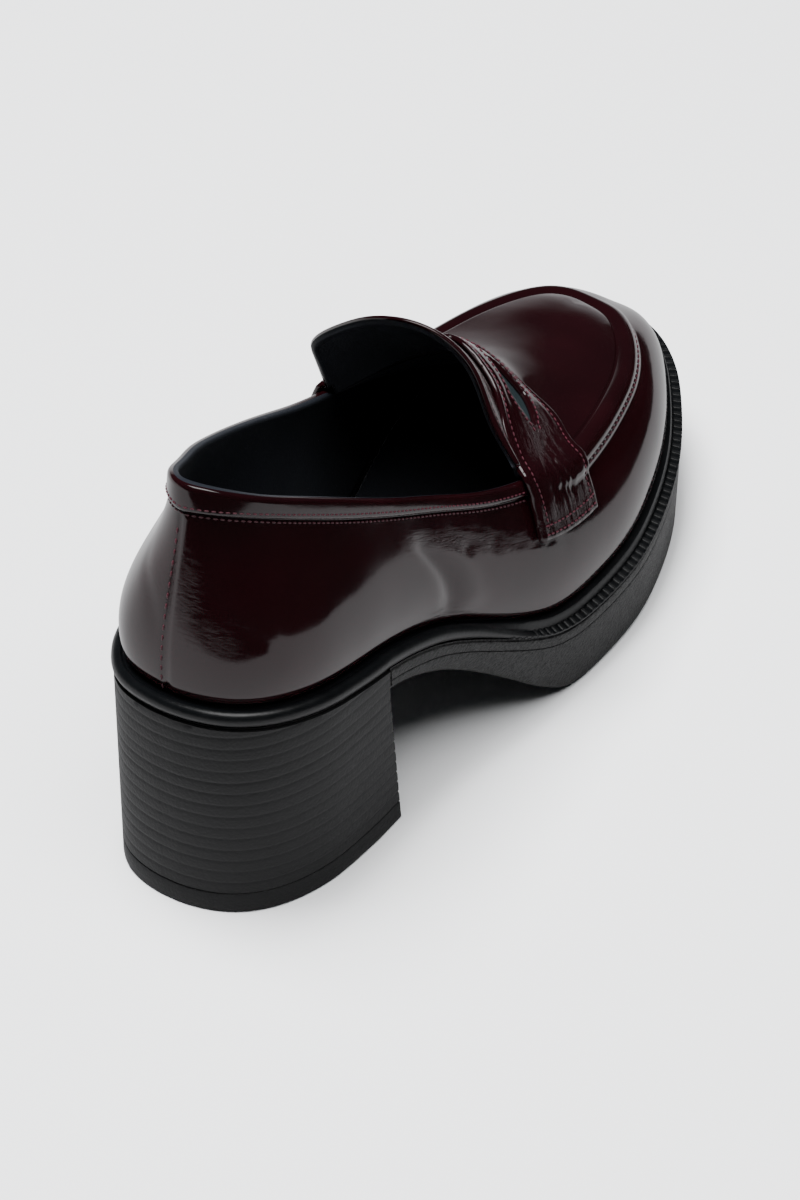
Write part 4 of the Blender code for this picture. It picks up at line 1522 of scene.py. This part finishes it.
def rib_path():
    places = np.linspace(7.0, LOOP - 6.8, 700)
    line, ups = [], []
    for q in places:
        sink = 0.18 * MM + 0.5 * MM * (1 - forefoot(q))
        low = welt_point(q, flange(q) * 0.95, 0.165 * WELT_HEIGHT)
        high = welt_point(q, flange(q) * 0.42, 0.315 * WELT_HEIGHT)
        slope = (high - low) / np.linalg.norm(high - low)
        along = welt_point(q + 0.05, 0, 0) - welt_point(q - 0.05, 0, 0)
        up = np.cross(along, slope)
        up = up / np.linalg.norm(up)
        up = up if up[2] > 0 else -up
        line.append((low + high) / 2 - up * sink)
        ups.append(up)
    return [(np.array(line), np.array(ups))]


rib_piece = small_piece("rib_piece", RIB_HALF, rings=6, around_it=12, power=6.0)
ribs = laid_in_rows("welt_ribs", rib_path(), rib_piece, RIB_PITCH, rib_rubber)
bpy.data.objects.remove(rib_piece)
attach(ribs, "root")

# %% [markdown]
# ## Sole
# Platform and waist are one moulding. Its side has a smooth strip under the welt, a fine parting line,
# and a grained wall below, and its lower edge is rounded.

# %% Sole
# Side of the sole from the top down: depth in mm and inset in mm
SOLE_SIDE = (
    (0.00, 0.90),
    (0.45, 0.90),
    (0.75, 0.42),
    (1.10, 0.30),
    (3.30, 0.32),
    (3.65, 0.42),
    (3.85, 0.75),
    (4.05, 0.42),
    (4.40, 0.34),
    (5.40, 0.34),
)


def place_at(x, inner_side):
    """Loop place whose outline point is at x, on the outer or the inner side."""
    start, end = 0.0, float(LAST_STATION)
    for _ in range(30):
        middle = (start + end) / 2
        if around(OUTLINE_LOOP, -middle if inner_side else middle)[0] < x:
            start = middle
        else:
            end = middle
    return -middle if inner_side else middle


def cross_ring(alongs, inset, height):
    """Ring through one point on each side at each place along."""
    sides = []
    for inner_side in (False, True):
        side = []
        for x in alongs:
            q = place_at(x, inner_side)
            flat, _ = plan(q, flange(q) - inset)
            side.append((*flat, height(flat[0])))
        sides.append(side)
    return np.array(sides[0] + sides[1][::-1]) + LAST_SHIFT


def lofted(name, rings, finish, angle):
    """Closed solid through rings, its ends closed by strips across."""
    size = len(rings[0])
    faces = []
    for k in range(len(rings) - 1):
        a, b = k * size, (k + 1) * size
        for i in range(size):
            after = (i + 1) % size
            faces.append((a + i, a + after, b + after, b + i))
    last = (len(rings) - 1) * size
    for i in range(size // 2 - 1):
        ends = (i, size - 1 - i, size - 2 - i, i + 1)
        faces.append(ends)
        faces.append(tuple(last + n for n in reversed(ends)))
    made = solid_piece(name, np.concatenate(rings), faces, [finish], merge=3e-6)
    sharpen(made, angle)
    return made


def make_sole():
    start = BREAST_PLACE + 2 * CLEARANCE
    bend = 0.56 * LENGTH
    alongs = list(np.linspace(start, bend, 70))
    turns = np.linspace(0, math.pi / 2, 70)[1:-1]
    alongs += [bend + (LENGTH - bend) * math.sin(turn) for turn in turns]
    edge = [(3.2, 0.0), (2.2, 0.12), (1.5, 0.45), (1.05, 0.95), (0.72, 1.8)]
    rings = [
        cross_ring(alongs, inset * MM, lambda x, rise=rise: sole_bottom(x) + rise * MM)
        for inset, rise in edge
    ]
    for depth, inset in reversed(SOLE_SIDE):
        rings.append(cross_ring(alongs, inset * MM, lambda x, depth=depth: sole_top(x) - depth * MM))
    return lofted("sole_skin", rings, side_rubber, 28)


sole = report(make_sole())
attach(sole, "root")
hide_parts("outsole")

# %% [markdown]
# ## Heel
# The block is moulded to look like stacked layers. Every layer is a shallow convex band, and the lines
# between them stay level while the seat slopes, so the top ones run out under the bead.

# %% Heel block and top lift
TOP_LIFT = 6.5 * MM
LAYER_PITCH = 3.8 * MM
LAYER_GROOVE = 0.15 * MM
LAYER_SHAPE = ((-1.2, 0.0), (-0.45, 0.35), (-0.10, 1.0), (0.12, 0.9), (0.50, 0.05), (1.1, 0.0))
heel_seed = np.random.default_rng(7)


def heel_ring(height, inset, limit=None):
    """Outline of the heel at a height, with the breast slanting forward to the floor."""
    under_sole = HEEL_HEIGHT - BREAST_DROP - WAIST_THICKNESS - 1 * MM
    level = min(height, under_sole)
    breast = BREAST_PLACE + BREAST_SLANT * (1 - level / under_sole) - inset
    turns = np.linspace(0, math.pi / 2, 44)[1:]
    alongs = [breast * (1 - math.cos(turn)) + 0.05 * MM for turn in turns]

    def top(x):
        return height if limit is None else min(height, sole_top(x) - limit)

    return cross_ring(alongs, 0.4 * MM + inset, top)


def make_heel():
    rings = [heel_ring(TOP_LIFT + 0.1 * MM, 0.3 * MM), heel_ring(TOP_LIFT + 0.35 * MM, 0.0)]
    layers = int((HEEL_HEIGHT - TOP_LIFT) / LAYER_PITCH)
    for k in range(1, layers + 1):
        line = TOP_LIFT + k * LAYER_PITCH + heel_seed.uniform(-0.12, 0.12) * MM
        deep = LAYER_GROOVE * heel_seed.uniform(0.75, 1.15)
        for rise, share in LAYER_SHAPE:
            rings.append(heel_ring(line + rise * MM, deep * share, 0.9 * MM))
    rings.append(heel_ring(HEEL_HEIGHT, 0.0, 0.7 * MM))
    rings.append(heel_ring(HEEL_HEIGHT, 0.8 * MM, 0.5 * MM))
    rings.append(heel_ring(HEEL_HEIGHT, 0.8 * MM, 0.0))
    return lofted("heel_skin", rings, stack_rubber, 40)


def make_top_lift():
    shape = ((0.0, 0.7), (0.25, 0.25), (0.6, 0.0), (3.0, 0.0), (6.2, 0.0), (6.38, 0.12), (6.45, 0.35))
    rings = [heel_ring(height * MM, inset * MM) for height, inset in shape]
    return lofted("top_lift_skin", rings, stack_rubber, 40)


heel = report(make_heel())
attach(heel, "root")
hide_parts("heel_block")
top_lift = report(make_top_lift())
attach(top_lift, "root")
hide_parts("top_lift")


# %% [markdown]
# ## Sock
# The footbed is covered by a thin black sock, crowned a little between its edges.

# %% Sock
def make_sock():
    turns = np.linspace(0, math.pi, 90)[1:-1]
    alongs = [LENGTH / 2 * (1 - math.cos(turn)) for turn in turns]
    rings = []
    for height, extra in ((0.6, 0.3), (5.2, 0.0), (5.7, 0.35), (5.9, 1.4)):
        ring = []
        for inner_side in (False, True):
            side = []
            for x in alongs:
                q = place_at(x, inner_side)
                flat, _ = plan(q, -WELT_LEDGE - CLEARANCE - extra * MM)
                side.append((*flat, sole_top(flat[0]) + height * MM))
            ring.append(side)
        rings.append(np.array(ring[0] + ring[1][::-1]) + LAST_SHIFT)
    return lofted("sock_skin", rings, lining, 50)


sock = report(make_sock())
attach(sock, "root")
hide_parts("insole")

# %% [markdown]
# ## Studio
# Patent leather shows the room. In the photo the lower part of every wall mirrors the pale floor, and
# a clean line above it says where that floor gives way to darkness. So black sheets just outside the
# picture, towards the camera and to its right, are a painted dark reflection, and a dark grey copy of
# the floor, a painted dim reflection, takes the rest of the mirror. Only mirrored rays see these two.
# Far off, the paper sweeps up, its colour painted darker as it rises (painted shade): that is the sheen
# on the rear of the apron.

# %% Floor
FLOOR_HALF = 5.0
SWEEP_START = 1.3
SWEEP_RADIUS = 0.65
# Edges of the painted dark reflection: towards the camera, to the right, and how far it widens away.
DARK_REFLECTION_NEAR = 0.262
DARK_REFLECTION_RIGHT = 0.195
DARK_REFLECTION_SPREAD = 0.28
flat_away = Vector((-to_camera.x, -to_camera.y, 0)).normalized()


def studio_place(right, away, up):
    """Point given from the camera's side: to its right, away from it, and up."""
    return to_right * right + flat_away * away + Vector((0, 0, up))


# Right edge of the painted dark reflection, widening away from the camera.
def dark_reflection_edge(away):
    return DARK_REFLECTION_RIGHT + DARK_REFLECTION_SPREAD * max(0.0, away)


def sweep(left, right, near, rise):
    """Points and faces of paper between two edges, each given as its place across at a distance."""
    profile = [(near, 0.0), (0.0, 0.0), (SWEEP_START, 0.0)]
    for i in range(1, 13):
        turn = math.radians(75) * i / 12
        profile.append(
            (SWEEP_START + SWEEP_RADIUS * math.sin(turn), SWEEP_RADIUS * (1 - math.cos(turn)))
        )
    points = [studio_place(r, away, up + rise) for away, up in profile for r in (left(away), right(away))]
    faces = [(2 * i, 2 * i + 1, 2 * i + 3, 2 * i + 2) for i in range(len(profile) - 1)]
    return np.array(points), faces


def paper(name, tone):
    """Matt paper, its colour painted darker as it sweeps up: painted shade where the light falls off."""
    f = Finish(name, roughness=0.7, specular_ior_level=0.2)
    start = f.node("TexCoord", None, None, "Object")
    height = f.node("SeparateXYZ", None, {"Vector": start}, "Z")
    # Painted shade: the colour fades to near black as the sweep rises, standing in for the light falling off.
    fade = f.node("MapRange", None, {"Value": height, "From Min": 0.0, "From Max": 0.42})
    f.feed("Base Color", f.between(fade, tone, (0.02, 0.02, 0.02)))
    return f.material


def seen_by_glaze_alone(piece):
    piece.visible_camera = False
    piece.visible_diffuse = False
    piece.visible_shadow = False


far = FLOOR_HALF
white = paper("pale_paper", (0.795, 0.803, 0.815))
floor = solid_piece("floor", *sweep(lambda _: -far, lambda _: far, -far, 0), [white])
# Painted dim reflection: a dark grey copy of the floor, 0.5 mm over it, that only mirrored rays see.
grey = paper("grey_paper", (0.27, 0.27, 0.275))
seen_by_glaze_alone(
    solid_piece("grey_paper", *sweep(lambda _: -far, dark_reflection_edge, -DARK_REFLECTION_NEAR, 0.5 * MM), [grey])
)
# Painted dark reflection: black sheets 1 mm over the pale floor, that only mirrored rays see.
black = paper("painted_dark_reflection", (0.003, 0.003, 0.003))
seen_by_glaze_alone(
    solid_piece("right_cloth", *sweep(dark_reflection_edge, lambda _: far, -far, 1 * MM), [black])
)
corners = [studio_place(r, away, 1 * MM) for r in (-far, DARK_REFLECTION_RIGHT) for away in (-far, -DARK_REFLECTION_NEAR)]
seen_by_glaze_alone(solid_piece("near_cloth", np.array(corners), [(0, 2, 3, 1)], [black]))
print("paper and cloth lie under the shoe")


# %% Lights
def softbox(name, place, size, power, mirrored=True):
    data = bpy.data.lights.new(name, "AREA")
    data.shape = "RECTANGLE"
    data.size, data.size_y = size
    data.energy = power
    light = bpy.data.objects.new(name, data)
    light.location = place
    light.visible_glossy = mirrored
    light.rotation_euler = (Vector((0, 0, 0.05)) - place).to_track_quat("-Z", "Y").to_euler()
    bpy.context.scene.collection.objects.link(light)
    return light


softbox("key", studio_place(-0.45, 0.12, 2.2), (1.0, 1.0), 165, mirrored=False)
softbox("fill", studio_place(0.32, -0.62, 2.2), (1.8, 1.3), 62)
world = bpy.data.worlds.new("studio")
bpy.context.scene.world = world
world.use_nodes = True
world.node_tree.nodes["Background"].inputs["Color"].default_value = (0.85, 0.90, 1.0, 1)
world.node_tree.nodes["Background"].inputs["Strength"].default_value = 0.035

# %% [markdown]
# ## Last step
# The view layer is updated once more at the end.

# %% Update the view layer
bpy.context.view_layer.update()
